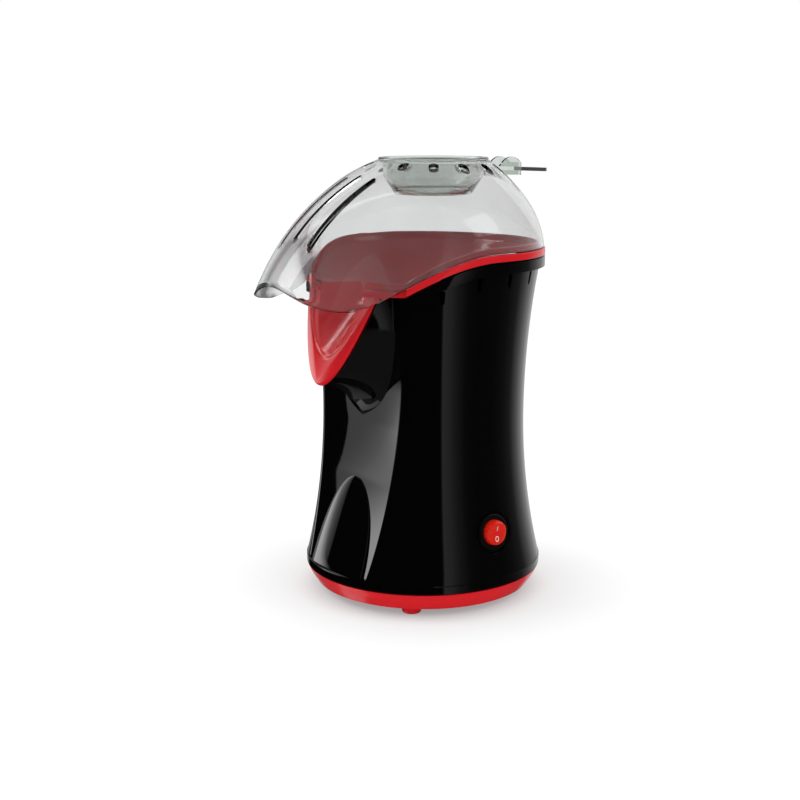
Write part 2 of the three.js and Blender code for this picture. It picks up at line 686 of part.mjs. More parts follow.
function collarSection(angle) {
  const rim = Math.max(rimHeight(angle), COLLAR_FRONT_Z);
  const band = SKIRT_RADIUS + 0.3 + (BAND_RADIUS - SKIRT_RADIUS - 0.3) * collarShare(angle);
  const seat = POT_TOP_Z + FIT_GAP;
  return [
    [band, rim],
    [band, rim + BAND_THICKNESS - 0.6],
    [band - 0.2, rim + BAND_THICKNESS],
    [SKIRT_RADIUS, rim + BAND_THICKNESS],
    [SKIRT_RADIUS, rim + BAND_THICKNESS + SKIRT_RISE],
    [SKIRT_RADIUS - SKIRT_WALL, rim + BAND_THICKNESS + SKIRT_RISE],
    [SKIRT_RADIUS - SKIRT_WALL - 1, rim + FUNNEL_DEPTH],
    [FUNNEL_MOUTH, seat + 3.4],
    [FUNNEL_MOUTH, seat],
    [POT_FLANGE_RADIUS, seat],
    [FUNNEL_RIM, rim],
  ].map(([r, z]) => polar(r, angle, z));
}

// Floor of the spout's channel.
function channelFloor(y) {
  const tipZ = SPOUT_TIP_Z + CHANNEL_TIP_RISE;
  const tipY = -flangeDepth(tipZ);
  return tipZ + ((y - tipY) * (CHANNEL_BACK_Z - tipZ)) / (CHANNEL_BACK_Y - tipY);
}

// U-shaped channel section at y, grown by wall, up to height top.
function channelSlice(y, wall, top) {
  const floor = channelFloor(y) - 1.35 * wall;
  const cap = CHANNEL_HALF_WIDTH + wall;
  const reach = Math.min((top - floor) * 0.9, (cap / CHANNEL_SPREAD) ** 2);
  const bowl = spread(13, -1, 1).map((t) => {
    const x = t * CHANNEL_SPREAD * Math.sqrt(reach);
    return new THREE.Vector3(x, y, floor + (x / CHANNEL_SPREAD) ** 2);
  });
  const side = CHANNEL_SPREAD * Math.sqrt(reach) + 0.5;
  return [...bowl, new THREE.Vector3(side, y, top), new THREE.Vector3(-side, y, top)];
}

function channelBody(wall, from, to, top) {
  return loft(spread(6, from, to).map((y) => channelSlice(y, wall, top)));
}

// Outline of the spout's flange, drawn in by inset.
function flangeOutline(inset, depth) {
  const lean = Math.cos(SPOUT_LEAN * DEG);
  const side = spread(11, 0, 1).map((u) => {
    const rise = u ** 1.8 * (SPOUT_TOP_Z - SPOUT_TIP_Z);
    const width = flangeHalfWidth(SPOUT_TIP_Z + rise) * (1 - inset / BILL_HALF_WIDTH);
    return new THREE.Vector3(width, depth, (rise + inset * (1 - u)) / lean);
  });
  const other = side.slice(1).reverse().map((p) => new THREE.Vector3(-p.x, p.y, p.z));
  return [...side, ...other];
}

function spoutFlange() {
  const place = move(0, SPOUT_TIP_Y, SPOUT_TIP_Z).multiply(
    new THREE.Matrix4().makeRotationX(-SPOUT_LEAN * DEG),
  );
  const rings = [[1.4, 0], [0, 1.6], [0, FLANGE_WALL]].map(([inset, depth]) => flangeOutline(inset, depth));
  rings.flat().forEach((p) => p.applyMatrix4(place));
  return loft(rings);
}

function chuteCollar() {
  const ring = loft(rimAngles().map(collarSection), true);
  const body = channelBody(FLANGE_WALL, -FUNNEL_MOUTH - 1, SPOUT_TIP_Y - 4, SPOUT_TOP_Z + 3);
  const channel = body.subtract(beforeFlange(FLANGE_WALL / 2));
  const hollow = channelBody(0, -FUNNEL_MOUTH / 2, SPOUT_TIP_Y - 8, RIM_Z + 30);
  return joined([ring, channel, spoutFlange()]).subtract(hollow);
}

// ---------- clear hood and measuring cup ----------
function hoodFootZ(angle) {
  const fromFront = angle > 180 ? angle - 360 : angle;
  const skirt = Math.max(rimHeight(angle, BAND_THICKNESS + FIT_GAP), HOOD_SKIRT_Z);
  return skirt + HOOD_NOSE_RISE * Math.exp(-((fromFront / HOOD_ARCH_ANGLE) ** 2));
}

function hoodColumn(angle, inset) {
  const fromFront = angle > 180 ? angle - 360 : angle;
  const nose = Math.exp(-(Math.abs(fromFront / HOOD_NOSE_ANGLE) ** HOOD_NOSE_SQUARENESS));
  const brow = Math.exp(-((fromFront / HOOD_BROW_ANGLE) ** 2));
  const shoulderRadius = HOOD_SHOULDER_RADIUS + (HOOD_BROW_REACH - HOOD_SHOULDER_RADIUS) * brow;
  const shoulderZ = HOOD_SHOULDER_Z + (HOOD_BROW_Z - HOOD_SHOULDER_Z) * brow;
  const footRadius = HOOD_FOOT_RADIUS + (HOOD_REACH - HOOD_FOOT_RADIUS) * nose;
  const top = polar(HOOD_TOP_RADIUS - 0.3 * inset, angle, HOOD_TOP_Z - inset);
  top.y += HOOD_MOUTH_Y;
  const shoulder = polar(shoulderRadius - 1.1 * inset, angle, shoulderZ - 0.9 * inset);
  const base = polar(footRadius - inset, angle, hoodFootZ(angle));
  return new THREE.QuadraticBezierCurve3(top, shoulder, base).getPoints(HOOD_STEPS);
}

const HOOD_STEPS = 6;
const HOOD_SLOT_FLOOR_Z = RIM_Z - 5; // the slots are cut from above down to here

function hoodSection(angle) {
  const mouth = CUP_TOP_RADIUS + CUP_CLEARANCE;
  const ring = [HOOD_TOP_Z - HOOD_WALL, HOOD_TOP_Z].map((z) => polar(mouth, angle, z));
  ring.forEach((p) => (p.y += HOOD_MOUTH_Y));
  return [...hoodColumn(angle, HOOD_WALL).reverse(), ...ring, ...hoodColumn(angle, 0)];
}

function hoodHole(k) {
  const angle = (k * 360) / HOOD_HOLE_DIVISIONS;
  const place = move(0, HOOD_MOUTH_Y, 0).multiply(turn(angle)).multiply(move(0, -HOOD_HOLE_CIRCLE, 0));
  return plate(stadium(HOOD_HOLE_WIDTH, HOOD_HOLE_LENGTH), HOOD_BROW_Z, CUP_RIM_Z + 5, place, 2);
}

function hoodSlot(x) {
  const length = HOOD_SLOT_FROM_Y - HOOD_SLOT_TO_Y;
  const place = move(x, HOOD_SLOT_TO_Y + length / 2, 0);
  return plate(stadium(HOOD_SLOT_WIDTH, length), HOOD_SLOT_FLOOR_Z, CUP_RIM_Z + 5, place, 2);
}

function hood() {
  const dome = loft(sweepAngles(13).map(hoodSection), true);
  const holes = spread(HOOD_HOLE_DIVISIONS, 0, HOOD_HOLE_DIVISIONS - 1)
    .filter((k) => k % (HOOD_HOLE_DIVISIONS / 2) !== 0)
    .map(hoodHole);
  const slots = [-HOOD_SLOT_OFFSET, 0, HOOD_SLOT_OFFSET].map(hoodSlot);
  const half = HANDLE_WIDTH / 2 + CUP_CLEARANCE;
  const notch = block(-half, half, 0, HANDLE_REACH, -CUP_CLEARANCE, CUP_RIM_Z, handleFrame());
  return cutAll(dome, [...holes, ...slots, notch]);
}

const HANDLE_RIB = 1.6; // wall of the box round the bar

// The bar's own frame: flat at its underside, falling away from the cup.
function handleFrame() {
  const start = HOOD_MOUTH_Y + CUP_TOP_RADIUS - CUP_WALL;
  const fall = new THREE.Matrix4().makeRotationX(-HANDLE_DROP * DEG);
  return move(0, start, HANDLE_Z).multiply(fall);
}

// A bar with a round tip and a crowned box across it, which hooks over the hood's edge.
function cupHandle() {
  const half = HANDLE_WIDTH / 2;
  const flat = HANDLE_REACH - HOOD_MOUTH_Y - CUP_TOP_RADIUS + CUP_WALL;
  const length = (flat - HANDLE_THICKNESS * Math.sin(HANDLE_DROP * DEG)) / Math.cos(HANDLE_DROP * DEG);
  const bar = new THREE.Shape();
  bar.moveTo(-half, 0);
  bar.lineTo(half, 0);
  bar.lineTo(half, length - half);
  bar.absarc(0, length - half, half, 0, Math.PI);
  const side = new THREE.Shape();
  side.moveTo(HANDLE_BOX_FROM_Y, HANDLE_Z);
  side.quadraticCurveTo(
    (HANDLE_BOX_FROM_Y + HANDLE_BOX_TO_Y) / 2,
    2 * HANDLE_BOX_TOP_Z - (HANDLE_Z + HANDLE_BOX_END_Z) / 2,
    HANDLE_BOX_TO_Y,
    HANDLE_BOX_END_Z,
  );
  side.lineTo(HANDLE_BOX_TO_Y, HANDLE_BOX_BOTTOM_Z);
  side.lineTo(HANDLE_BOX_FROM_Y, HANDLE_BOX_BOTTOM_Z);
  const across = new THREE.Matrix4().makeBasis(
    new THREE.Vector3(0, 1, 0),
    new THREE.Vector3(0, 0, 1),
    new THREE.Vector3(1, 0, 0),
  );
  const cheeks = [-half, half - HANDLE_RIB].map((x) =>
    plate(side, 0, HANDLE_RIB, move(x, 0, 0).multiply(across), 6),
  );
  const stop = block(
    -half,
    half,
    HANDLE_BOX_TO_Y - HANDLE_RIB,
    HANDLE_BOX_TO_Y,
    HANDLE_BOX_BOTTOM_Z,
    HANDLE_BOX_END_Z,
  );
  return joined([plate(bar, 0, HANDLE_THICKNESS, handleFrame()), ...cheeks, stop]);
}

function measuringCup() {
  const seat = HOOD_TOP_Z + FIT_GAP;
  const floor = CUP_BOTTOM_Z + CUP_WALL;
  const bowl = turned(
    [
      [0, CUP_BOTTOM_Z],
      [CUP_BOTTOM_RADIUS - 0.8, CUP_BOTTOM_Z],
      [CUP_BOTTOM_RADIUS, CUP_BOTTOM_Z + 0.8],
      [CUP_KNEE_RADIUS, CUP_KNEE_Z],
      [CUP_TOP_RADIUS, seat],
      [HOOD_TOP_RADIUS, seat],
      [HOOD_TOP_RADIUS, CUP_RIM_Z - 0.3],
      [HOOD_TOP_RADIUS - 0.3, CUP_RIM_Z],
      [CUP_TOP_RADIUS - CUP_WALL, CUP_RIM_Z],
      [CUP_KNEE_RADIUS - CUP_WALL, CUP_KNEE_Z + 0.6],
      [CUP_BOTTOM_RADIUS - CUP_WALL, floor + 0.4],
      [0, floor],
    ],
    32,
    move(0, HOOD_MOUTH_Y, 0),
  );
  return bowl.add(cupHandle());
}

// ---------- popping chamber and air path ----------
const LOUVRE_Z = POT_BOTTOM_Z + 8;
const LOUVRE_LENGTH = 11;
const LOUVRE_WIDTH = 1.7;
const LOUVRE_SLANT = 38; // degrees from upright
const POT_FLOOR_RISE = 5.5; // the floor is domed
const DUCT_TOP_Z = POT_TOP_Z - POT_WALL - FIT_GAP;
const FAN_FLANGE = 2;
const FAN_WALL = DUCT_WALL;

function poppingChamber() {
  const r = POT_RADIUS;
  const low = POT_BOTTOM_Z;
  const pot = turned(
    [
      [0, low + POT_FLOOR_RISE],
      [0.35 * r, low + 0.8 * POT_FLOOR_RISE],
      [0.85 * r, low],
      [r - 1, low],
      [r + POT_WALL, low + 2],
      [r + POT_WALL, POT_TOP_Z - POT_WALL],
      [POT_FLANGE_RADIUS, POT_TOP_Z - POT_WALL],
      [POT_FLANGE_RADIUS, POT_TOP_Z],
      [r, POT_TOP_Z],
      [r, low + 2.4],
      [0.86 * r, low + POT_WALL],
      [0.36 * r, low + 0.8 * POT_FLOOR_RISE + POT_WALL],
      [0, low + POT_FLOOR_RISE + POT_WALL],
    ],
    26,
  );
  const louvres = spread(LOUVRE_COUNT, 0, 360 - 360 / LOUVRE_COUNT).map((angle) => {
    const frame = wallFrame(r, angle, LOUVRE_Z).multiply(turn(LOUVRE_SLANT));
    const [along, across] = [LOUVRE_LENGTH / 2, LOUVRE_WIDTH / 2];
    return block(-along, along, -across, across, -3, 4, frame);
  });
  return cutAll(pot, louvres);
}

function chamberHousing() {
  const low = FAN_HOUSING_TOP_Z + FAN_FLANGE + FIT_GAP;
  return tube(DUCT_RADIUS, DUCT_RADIUS + DUCT_WALL, low, DUCT_TOP_Z, 30);
}

function fanHousing() {
  const outer = DUCT_RADIUS + DUCT_WALL;
  return turned(
    [
      [FAN_INLET_RADIUS, FAN_FLOOR_Z],
      [outer, FAN_FLOOR_Z],
      [outer, FAN_HOUSING_TOP_Z + FAN_FLANGE],
      [HEATER_LEDGE, FAN_HOUSING_TOP_Z + FAN_FLANGE],
      [HEATER_LEDGE, FAN_HOUSING_TOP_Z],
      [outer - FAN_WALL, FAN_HOUSING_TOP_Z - 1.5],
      [outer - FAN_WALL, FAN_FLOOR_Z + FAN_WALL],
      [FAN_INLET_RADIUS, FAN_FLOOR_Z + FAN_WALL],
    ],
    30,
  );
}

const HEATER_LEDGE = DUCT_RADIUS - 3.2;
const MICA = 1.2;
const COIL_TURNS = 2;
const COIL_PITCH = 6;
const COIL_NOTCH = 3.4;

function heaterFrame() {
  const low = FAN_HOUSING_TOP_Z + FAN_FLANGE + FIT_GAP;
  const reach = DUCT_RADIUS - 0.6;
  const half = MICA / 2;
  const arms = block(-reach, reach, -half, half, low, low + HEATER_HEIGHT).add(
    block(-half, half, -reach, reach, low, low + HEATER_HEIGHT),
  );
  const notches = [0, 90, 180, 270].map((angle) =>
    block(-3, 3, -COIL_NOTCH / 2, COIL_NOTCH / 2, low + 3, low + 40, standingAt(angle, COIL_RADIUS)),
  );
  return cutAll(arms, notches);
}

function heaterCoil() {
  const low = FAN_HOUSING_TOP_Z + FAN_FLANGE + FIT_GAP + 3 + COIL_THICKNESS / 2 + FIT_GAP;
  class Winding extends THREE.Curve {
    getPoint(t) {
      return polar(COIL_RADIUS, 360 * COIL_TURNS * t, low + COIL_TURNS * COIL_PITCH * t);
    }
  }
  const section = new THREE.Shape();
  section.absarc(0, 0, COIL_THICKNESS / 2, 0, 2 * Math.PI);
  const path = new Winding();
  const options = { steps: 16 * COIL_TURNS, curveSegments: 3, bevelEnabled: false, extrudePath: path };
  return solidOf(new THREE.ExtrudeGeometry(section, options));
}

// ---------- fan, motor and stand ----------
const IMPELLER_PLATE = 1.4;
const HUB_RADIUS = 5;
const BLADE_THICKNESS = 1.1;
const BLADE_INNER_RADIUS = 15;
const BLADE_SWEEP = 48; // degrees from the blade's inner end to its tip
const BLADE_CURVE_STEPS = 4;
const STAND_HOLE = 4.4;
const STAND_ARM = 8;
const MOTOR_TOP_Z = STAND_TOP_Z - STAND_PLATE - FIT_GAP;
const MOTOR_BOSS_RADIUS = 4;

function blade(angle) {
  const line = (side) =>
    spread(BLADE_CURVE_STEPS, 0, 1).map((t) => {
      const radius = BLADE_INNER_RADIUS + (IMPELLER_RADIUS - BLADE_INNER_RADIUS) * t;
      const sweep = BLADE_SWEEP * t ** 1.3 + (side * BLADE_THICKNESS) / 2 / (radius * DEG);
      return polar(radius, angle + sweep, 0);
    });
  const shape = new THREE.Shape([...line(-1), ...line(1).reverse()].map((p) => new THREE.Vector2(p.x, p.y)));
  return plate(shape, IMPELLER_Z, IMPELLER_Z + BLADE_HEIGHT + IMPELLER_PLATE / 2);
}

function fanImpeller() {
  const top = IMPELLER_Z + BLADE_HEIGHT;
  const bore = SHAFT_RADIUS + SHAFT_CLEARANCE;
  const plateAndHub = turned(
    [
      [bore, IMPELLER_Z],
      [HUB_RADIUS, IMPELLER_Z],
      [HUB_RADIUS + 1, top - 3],
      [HUB_RADIUS + 5, top],
      [IMPELLER_RADIUS, top],
      [IMPELLER_RADIUS, top + IMPELLER_PLATE],
      [bore, top + IMPELLER_PLATE],
    ],
    24,
  );
  const blades = spread(BLADE_COUNT, 0, 360 - 360 / BLADE_COUNT).map(blade);
  return joined([plateAndHub, ...blades]);
}

function motorShaft() {
  return rod(SHAFT_RADIUS, MOTOR_TOP_Z - 12, IMPELLER_Z + BLADE_HEIGHT + IMPELLER_PLATE + 1, 16);
}

function motor() {
  const r = MOTOR_RADIUS;
  const bore = SHAFT_RADIUS + FIT_GAP;
  const can = turned(
    [
      [0, MOTOR_BOTTOM_Z],
      [4.5, MOTOR_BOTTOM_Z],
      [4.5, MOTOR_BOTTOM_Z + 2],
      [r - 1.5, MOTOR_BOTTOM_Z + 2],
      [r, MOTOR_BOTTOM_Z + 3.5],
      [r, MOTOR_TOP_Z - 1],
      [r - 1, MOTOR_TOP_Z],
      [MOTOR_BOSS_RADIUS, MOTOR_TOP_Z],
      [MOTOR_BOSS_RADIUS, STAND_TOP_Z - 1],
      [bore, STAND_TOP_Z - 1],
      [bore, MOTOR_TOP_Z - 13],
      [0, MOTOR_TOP_Z - 13],
    ],
    20,
  );
  const tabLow = MOTOR_BOTTOM_Z - 4;
  const tabs = [-8, 8].map((x) => block(x - 1.4, x + 1.4, -0.4, 0.4, tabLow, tabLow + 7));
  return joined([can, ...tabs]);
}

function motorStand() {
  const low = STAND_TOP_Z - STAND_PLATE;
  const ring = tube(STAND_LEG_CIRCLE - 7, STAND_LEG_CIRCLE + 2.5, low, STAND_TOP_Z, 28);
  const hub = tube(STAND_HOLE, MOTOR_RADIUS + 1, low, STAND_TOP_Z, 20);
  const legs = STAND_ANGLES.map((angle) => {
    const half = STAND_ARM / 2;
    const arm = block(-half, half, half - STAND_LEG_CIRCLE, -MOTOR_RADIUS, low, STAND_TOP_Z, turn(angle));
    const place = standingAt(angle, STAND_LEG_CIRCLE);
    const leg = block(-3.5, 3.5, -2.5, 2.5, BASE_FLOOR + FOOT_HEIGHT + FIT_GAP, STAND_TOP_Z - 1, place);
    return arm.add(leg);
  });
  return joined([ring, hub, ...legs]);
}

// ---------- switch, gland and electrical parts ----------
const BEZEL_HEIGHT = 2;
const ROCKER_FACE = 1.4; // middle of the rocker's face in front of its pivot
const ROCKER_PIVOT = 0.6; // pivot in front of the wall's surface at the switch's middle
const GLAND_FLANGE = 6.6;
const GLAND_BORE = 2.7;

function switchBody() {
  const seat = -SWITCH_DEPTH + FIT_GAP;
  const mouth = ROCKER_RADIUS + ROCKER_CLEARANCE;
  const body = turned(
    [
      [0, seat - SWITCH_BARREL_LENGTH],
      [SWITCH_BARREL_RADIUS - 0.8, seat - SWITCH_BARREL_LENGTH],
      [SWITCH_BARREL_RADIUS, seat - SWITCH_BARREL_LENGTH + 0.8],
      [SWITCH_BARREL_RADIUS, seat],
      [SWITCH_BEZEL_RADIUS, seat],
      [SWITCH_BEZEL_RADIUS, seat + BEZEL_HEIGHT - 0.7],
      [SWITCH_BEZEL_RADIUS - 0.7, seat + BEZEL_HEIGHT],
      [mouth, seat + BEZEL_HEIGHT],
      [mouth, seat - ROCKER_RADIUS],
      [0, seat - ROCKER_RADIUS],
    ],
    24,
    switchFrame(),
  );
  const low = seat - SWITCH_BARREL_LENGTH - 5;
  const tabs = [-5, 5].map((x) => block(x - 0.4, x + 0.4, -2.4, 2.4, low, low + 6, switchFrame()));
  return joined([body, ...tabs]);
}

function switchRocker() {
  const arc = spread(7, -58, 24).map((a) => {
    const out = new THREE.Vector2(ROCKER_RADIUS, 0).rotateAround(new THREE.Vector2(), a * DEG);
    return [out.x, out.y];
  });
  const ball = [[0, arc[0][1]], ...arc, [0, arc[6][1]]];
  const place = switchFrame()
    .multiply(move(0, 0, ROCKER_PIVOT))
    .multiply(new THREE.Matrix4().makeRotationY(-ROCKER_TILT * DEG));
  const body = turned(ball, 20, place);
  const half = (side) => {
    const slope = new THREE.Matrix4().makeRotationY(-side * ROCKER_TILT * DEG);
    const at = place.clone().multiply(move(0, 0, ROCKER_FACE)).multiply(slope);
    return side > 0 ? block(0, 20, -20, 20, 0, 20, at) : block(-20, 0, -20, 20, 0, 20, at);
  };
  return cutAll(body, [half(1), half(-1)]);
}

function cordGland() {
  const frame = wallFrame(housingRadius(GLAND_Z), GLAND_ANGLE, GLAND_Z, GLAND_TILT);
  return turned(
    [
      [GLAND_BORE, -7],
      [GLAND_RADIUS, -7],
      [GLAND_RADIUS, 0.6],
      [GLAND_FLANGE, 0.6],
      [GLAND_FLANGE, 1.8],
      [GLAND_BORE + 1.2, 6.5],
      [GLAND_BORE, 6.5],
    ],
    16,
    frame,
  );
}

function thermostat() {
  const frame = wallFrame(DUCT_RADIUS + DUCT_WALL + FIT_GAP, 180, 150);
  const cup = rod(7.5, 0, 8, 24, frame);
  const ears = block(-1.2, 1.2, -13, 13, 0.6, 1.8, frame);
  const tabs = [-3, 3].map((y) => block(-3, 3, y - 0.4, y + 0.4, 7, 14, frame));
  return joined([cup, ears, ...tabs]);
}

function thermalFuse() {
  const frame = wallFrame(DUCT_RADIUS + DUCT_WALL + FIT_GAP, 140, 150);
  return block(-6, 6, -2, 2, 0, 4, frame).add(rod(2.6, 0, 1, 16, frame));
}

function rectifierBoard() {
  const low = BOARD.z + FIT_GAP;
  const card = block(-BOARD.x - 3, BOARD.x + 3, BOARD.y0, BOARD.y1, low, low + 1.6);
  const diodes = [-9, -3, 3, 9].map((x) =>
    block(x - 1.4, x + 1.4, BOARD.y0 + 4, BOARD.y1 - 4, low + 1.4, low + 4.4),
  );
  return joined([card, ...diodes]);
}

// ---------- assembly ----------
const maker = new THREE.Group();
const pieces = [
  ["hood", hood(), SMOKE_CLEAR],
  ["measuring_cup", measuringCup(), SMOKE_CLEAR],
  ["chute_collar", chuteCollar(), RED_GLOSS],
  ["outer_shell", outerShell(), BLACK_GLOSS],
  ["front_panel", frontPanel(), BLACK_GLOSS],
  ["base_tray", baseTray(), RED_GLOSS],
  ...FOOT_ANGLES.map((angle, i) => [`foot_${i + 1}`, foot(angle), RED_GLOSS]),
  ...SCREW_ANGLES.map((angle, i) => [`base_screw_${i + 1}`, baseScrew(angle), STEEL]),
  ["popping_chamber", poppingChamber(), ALUMINIUM],
  ["chamber_housing", chamberHousing(), BLACK_MATTE],
  ["fan_housing", fanHousing(), BLACK_MATTE],
  ["heater_frame", heaterFrame(), MICA_TAN],
  ["heater_coil", heaterCoil(), STEEL],
  ["thermostat", thermostat(), CERAMIC],
  ["thermal_fuse", thermalFuse(), CERAMIC],
  ["fan_impeller", fanImpeller(), BLACK_MATTE],
  ["motor_shaft", motorShaft(), STEEL],
  ["motor", motor(), STEEL],
  ["motor_stand", motorStand(), BLACK_MATTE],
  ["rectifier_board", rectifierBoard(), BOARD_GREEN],
  ["switch_body", switchBody(), BLACK_MATTE],
  ["switch_rocker", switchRocker(), SWITCH_RED],
  ["cord_gland", cordGland(), BLACK_MATTE],
];
pieces.forEach(([name, solid, material]) => maker.add(meshOf(name, solid, material)));

// The frame's origin is under the middle of the whole object's box.
const box = new THREE.Box3().setFromObject(maker);
const middle = box.getCenter(new THREE.Vector3());
maker.position.set(-middle.x, -middle.y, -box.min.z);

export default maker;
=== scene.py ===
"""Looks, stage and camera for a hot-air popcorn maker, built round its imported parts.

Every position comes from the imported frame. Angles round the body are measured from
its front, -Y, towards +X.
"""

import math

import bmesh
import bpy
from bpy.props import FloatProperty, FloatVectorProperty, PointerProperty
from mathutils import Matrix, Vector


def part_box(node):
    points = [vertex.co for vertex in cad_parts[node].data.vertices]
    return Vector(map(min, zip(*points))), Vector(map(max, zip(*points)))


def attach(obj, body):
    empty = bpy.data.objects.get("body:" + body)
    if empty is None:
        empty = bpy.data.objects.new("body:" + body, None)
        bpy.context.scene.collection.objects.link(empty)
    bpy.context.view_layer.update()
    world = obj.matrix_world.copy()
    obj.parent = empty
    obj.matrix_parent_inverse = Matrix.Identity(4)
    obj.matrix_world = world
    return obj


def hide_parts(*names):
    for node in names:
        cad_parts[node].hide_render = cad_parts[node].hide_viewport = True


bl_info = {
    "name": "Popcorn Maker",
    "version": (1, 0, 0),
    "blender": (4, 5, 0),
    "location": "View3D > Sidebar > Popcorn",
    "description": "Builds the visible pieces of a hot-air popcorn maker",
    "category": "Add Mesh",
}

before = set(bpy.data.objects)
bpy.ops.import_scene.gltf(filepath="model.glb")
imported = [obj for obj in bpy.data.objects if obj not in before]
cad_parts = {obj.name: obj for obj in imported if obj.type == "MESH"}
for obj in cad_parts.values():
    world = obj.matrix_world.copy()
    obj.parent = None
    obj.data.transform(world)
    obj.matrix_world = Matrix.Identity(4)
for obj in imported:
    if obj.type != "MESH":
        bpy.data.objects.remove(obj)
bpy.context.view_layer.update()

MM = 0.001
TRAY_LOW, TRAY_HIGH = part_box("base_tray")
AXIS = Vector(((TRAY_LOW.x + TRAY_HIGH.x) / 2, (TRAY_LOW.y + TRAY_HIGH.y) / 2, 0))


# ---------- sizes and colours ----------
def length(name, millimetres, description):
    return FloatProperty(
        name=name,
        description=description,
        default=millimetres * MM,
        subtype="DISTANCE",
        unit="LENGTH",
        precision=4,
    )


def angle(name, degrees, description):
    return FloatProperty(
        name=name,
        description=description,
        default=math.radians(degrees),
        subtype="ANGLE",
        unit="ROTATION",
    )


def colour(name, red, green, blue, description):
    return FloatVectorProperty(
        name=name,
        description=description,
        default=(red, green, blue),
        min=0.0,
        max=1.0,
        subtype="COLOR",
    )


class HousingSizes(bpy.types.PropertyGroup):
    wall: length("Wall", 2.2, "Thickness of the moulded walls")
    base_top: length("Base top", 16.6, "Height at which the red base meets the housing")
    base_top_radius: length("Base top radius", 77, "Radius of the red base at its top")
    base_bottom_radius: length("Base bottom radius", 71.4, "Radius of the red base at its foot")
    band_radius: length("Band radius", 77.3, "Radius of the foot band, lip and red band")
    foot_band_top: length("Foot band top", 22.4, "Top of the plain band at the housing's foot")
    flare_radius: length("Flare radius", 76.9, "Radius of the housing just above the foot band")
    waist_radius: length("Waist radius", 65.5, "Radius at the waist")
    waist_height: length("Waist height", 118, "Height of the waist")
    shoulder_radius: length("Shoulder radius", 72.2, "Radius at the shoulder")
    shoulder_height: length("Shoulder height", 204, "Height of the shoulder")
    rim_height: length("Rim height", 220, "Underside of the red band at the back")
    rim_droop: length("Rim droop", 19, "How far the rim drops towards the front")
    droop_reach: length("Droop reach", 56, "Distance in front of the axis of the full droop")
    lip_height: length("Lip height", 7.5, "Height of the black lip under the red band")
    band_thickness: length("Band thickness", 4.7, "Height of the red band")
    collar_end: angle("Collar end", 43, "Where the lip and the band end, from the front")
    crease_top_angle: angle("Crease top angle", 40.5, "Half-angle of the front face at its top")
    crease_base_angle: angle("Crease base angle", 24.5, "Half-angle of the front face at its foot")
    crease_top: length("Crease top", 150, "Height up to which the creases stay upright")
    panel_top: length("Panel top", 200, "Top of the front panel")
    tongue_top: length("Tongue top", 81.4, "Top of the raised tongue at the foot of the face")
    tongue_half_width: length("Tongue half width", 26.5, "Half the tongue's width at its foot")
    tongue_bulge: length("Tongue bulge", 4.6, "How far the tongue stands out")
    gap: length("Gap", 0.3, "Gap between pieces that touch")


class HoodSizes(bpy.types.PropertyGroup):
    top: length("Top", 278.6, "Height of the hood's top")
    top_radius: length("Top radius", 35, "Radius of the flat round its mouth")
    mouth_back: length("Mouth offset", 7.5, "How far the mouth stands behind the body's axis")
    foot_radius: length("Foot radius", 76.6, "Radius of its lower edge at the back")
    reach: length("Reach", 116, "Reach of its nose in front of the axis")
    wall: length("Wall", 2, "Thickness of the clear wall")
    nose_angle: angle("Nose angle", 28.6, "Half-width of the nose")
    skirt: length("Skirt height", 193, "Lowest height of its edge beside the chute")
    nose_rise: length("Nose rise", 13.8, "Arch in its edge at the nose")
    shoulder_radius: length("Shoulder radius", 72, "Pull of its side curve at the back")
    shoulder_height: length("Shoulder height", 253.2, "Height of that pull")
    brow_reach: length("Brow reach", 91, "The same pull over the nose")
    brow_height: length("Brow height", 257.3, "Height of that pull over the nose")
    slot_width: length("Slot width", 3, "Width of the three steam slots")
    slot_offset: length("Slot offset", 14.3, "Distance of the outer slots from the middle one")
    cup_rim: length("Cup rim", 280, "Height of the measuring cup's rim")
    cup_top_radius: length("Cup top radius", 32.4, "Outer radius of the cup at its rim")
    cup_knee_radius: length("Cup knee radius", 31.9, "Outer radius where the cup starts to narrow")
    cup_knee: length("Cup knee", 268, "Height of that knee")
    cup_bottom_radius: length("Cup bottom radius", 25, "Outer radius of the cup's floor")
    cup_bottom: length("Cup bottom", 256.8, "Height of the cup's underside")
    cup_wall: length("Cup wall", 1.5, "Thickness of the cup")
    handle_reach: length("Handle reach", 104, "Tip of the cup's handle behind the axis")
    handle_width: length("Handle width", 13, "Width of the handle")
    handle_height: length("Handle height", 271.8, "Underside of the handle at the cup")
    handle_drop: angle("Handle drop", 2.6, "How far the handle falls away from level")
    handle_thickness: length("Handle thickness", 2.4, "Thickness of the handle's bar")


class SpoutSizes(bpy.types.PropertyGroup):
    tip_reach: length("Tip reach", 83, "Reach of the spout's tip in front of the axis")
    tip: length("Tip height", 143.7, "Height of the spout's tip")
    lean: angle("Lean", 17.5, "Lean of the flange from upright")
    top: length("Top", 201, "Top of the flange")
    flange: length("Flange", 2.4, "Thickness of the flange")
    bill_bottom: length("Bill bottom", 121.7, "Foot of the black bill on the front face")
    bill_half_width: length("Bill half width", 38.5, "Half-width of the bill at its top")
    bill_beak: length("Beak half width", 26, "Half-width that the beak swells to")


class SwitchSizes(bpy.types.PropertyGroup):
    height: length("Height", 51.1, "Height of the switch's middle")
    tilt: angle("Tilt", 9.5, "How far the switch faces upwards")
    recess_radius: length("Recess radius", 13.5, "Radius of the recess round the switch")
    recess_depth: length("Recess depth", 1.5, "Depth of the recess at its middle")
    bezel_radius: length("Bezel radius", 11.5, "Radius of the bezel")
    barrel_radius: length("Barrel radius", 10, "Radius of the barrel behind the bezel")
    rocker_radius: length("Rocker radius", 8.0, "Radius of the round rocker")
    rocker_tilt: angle("Rocker tilt", 12, "Tilt of the rocker either side of the middle")


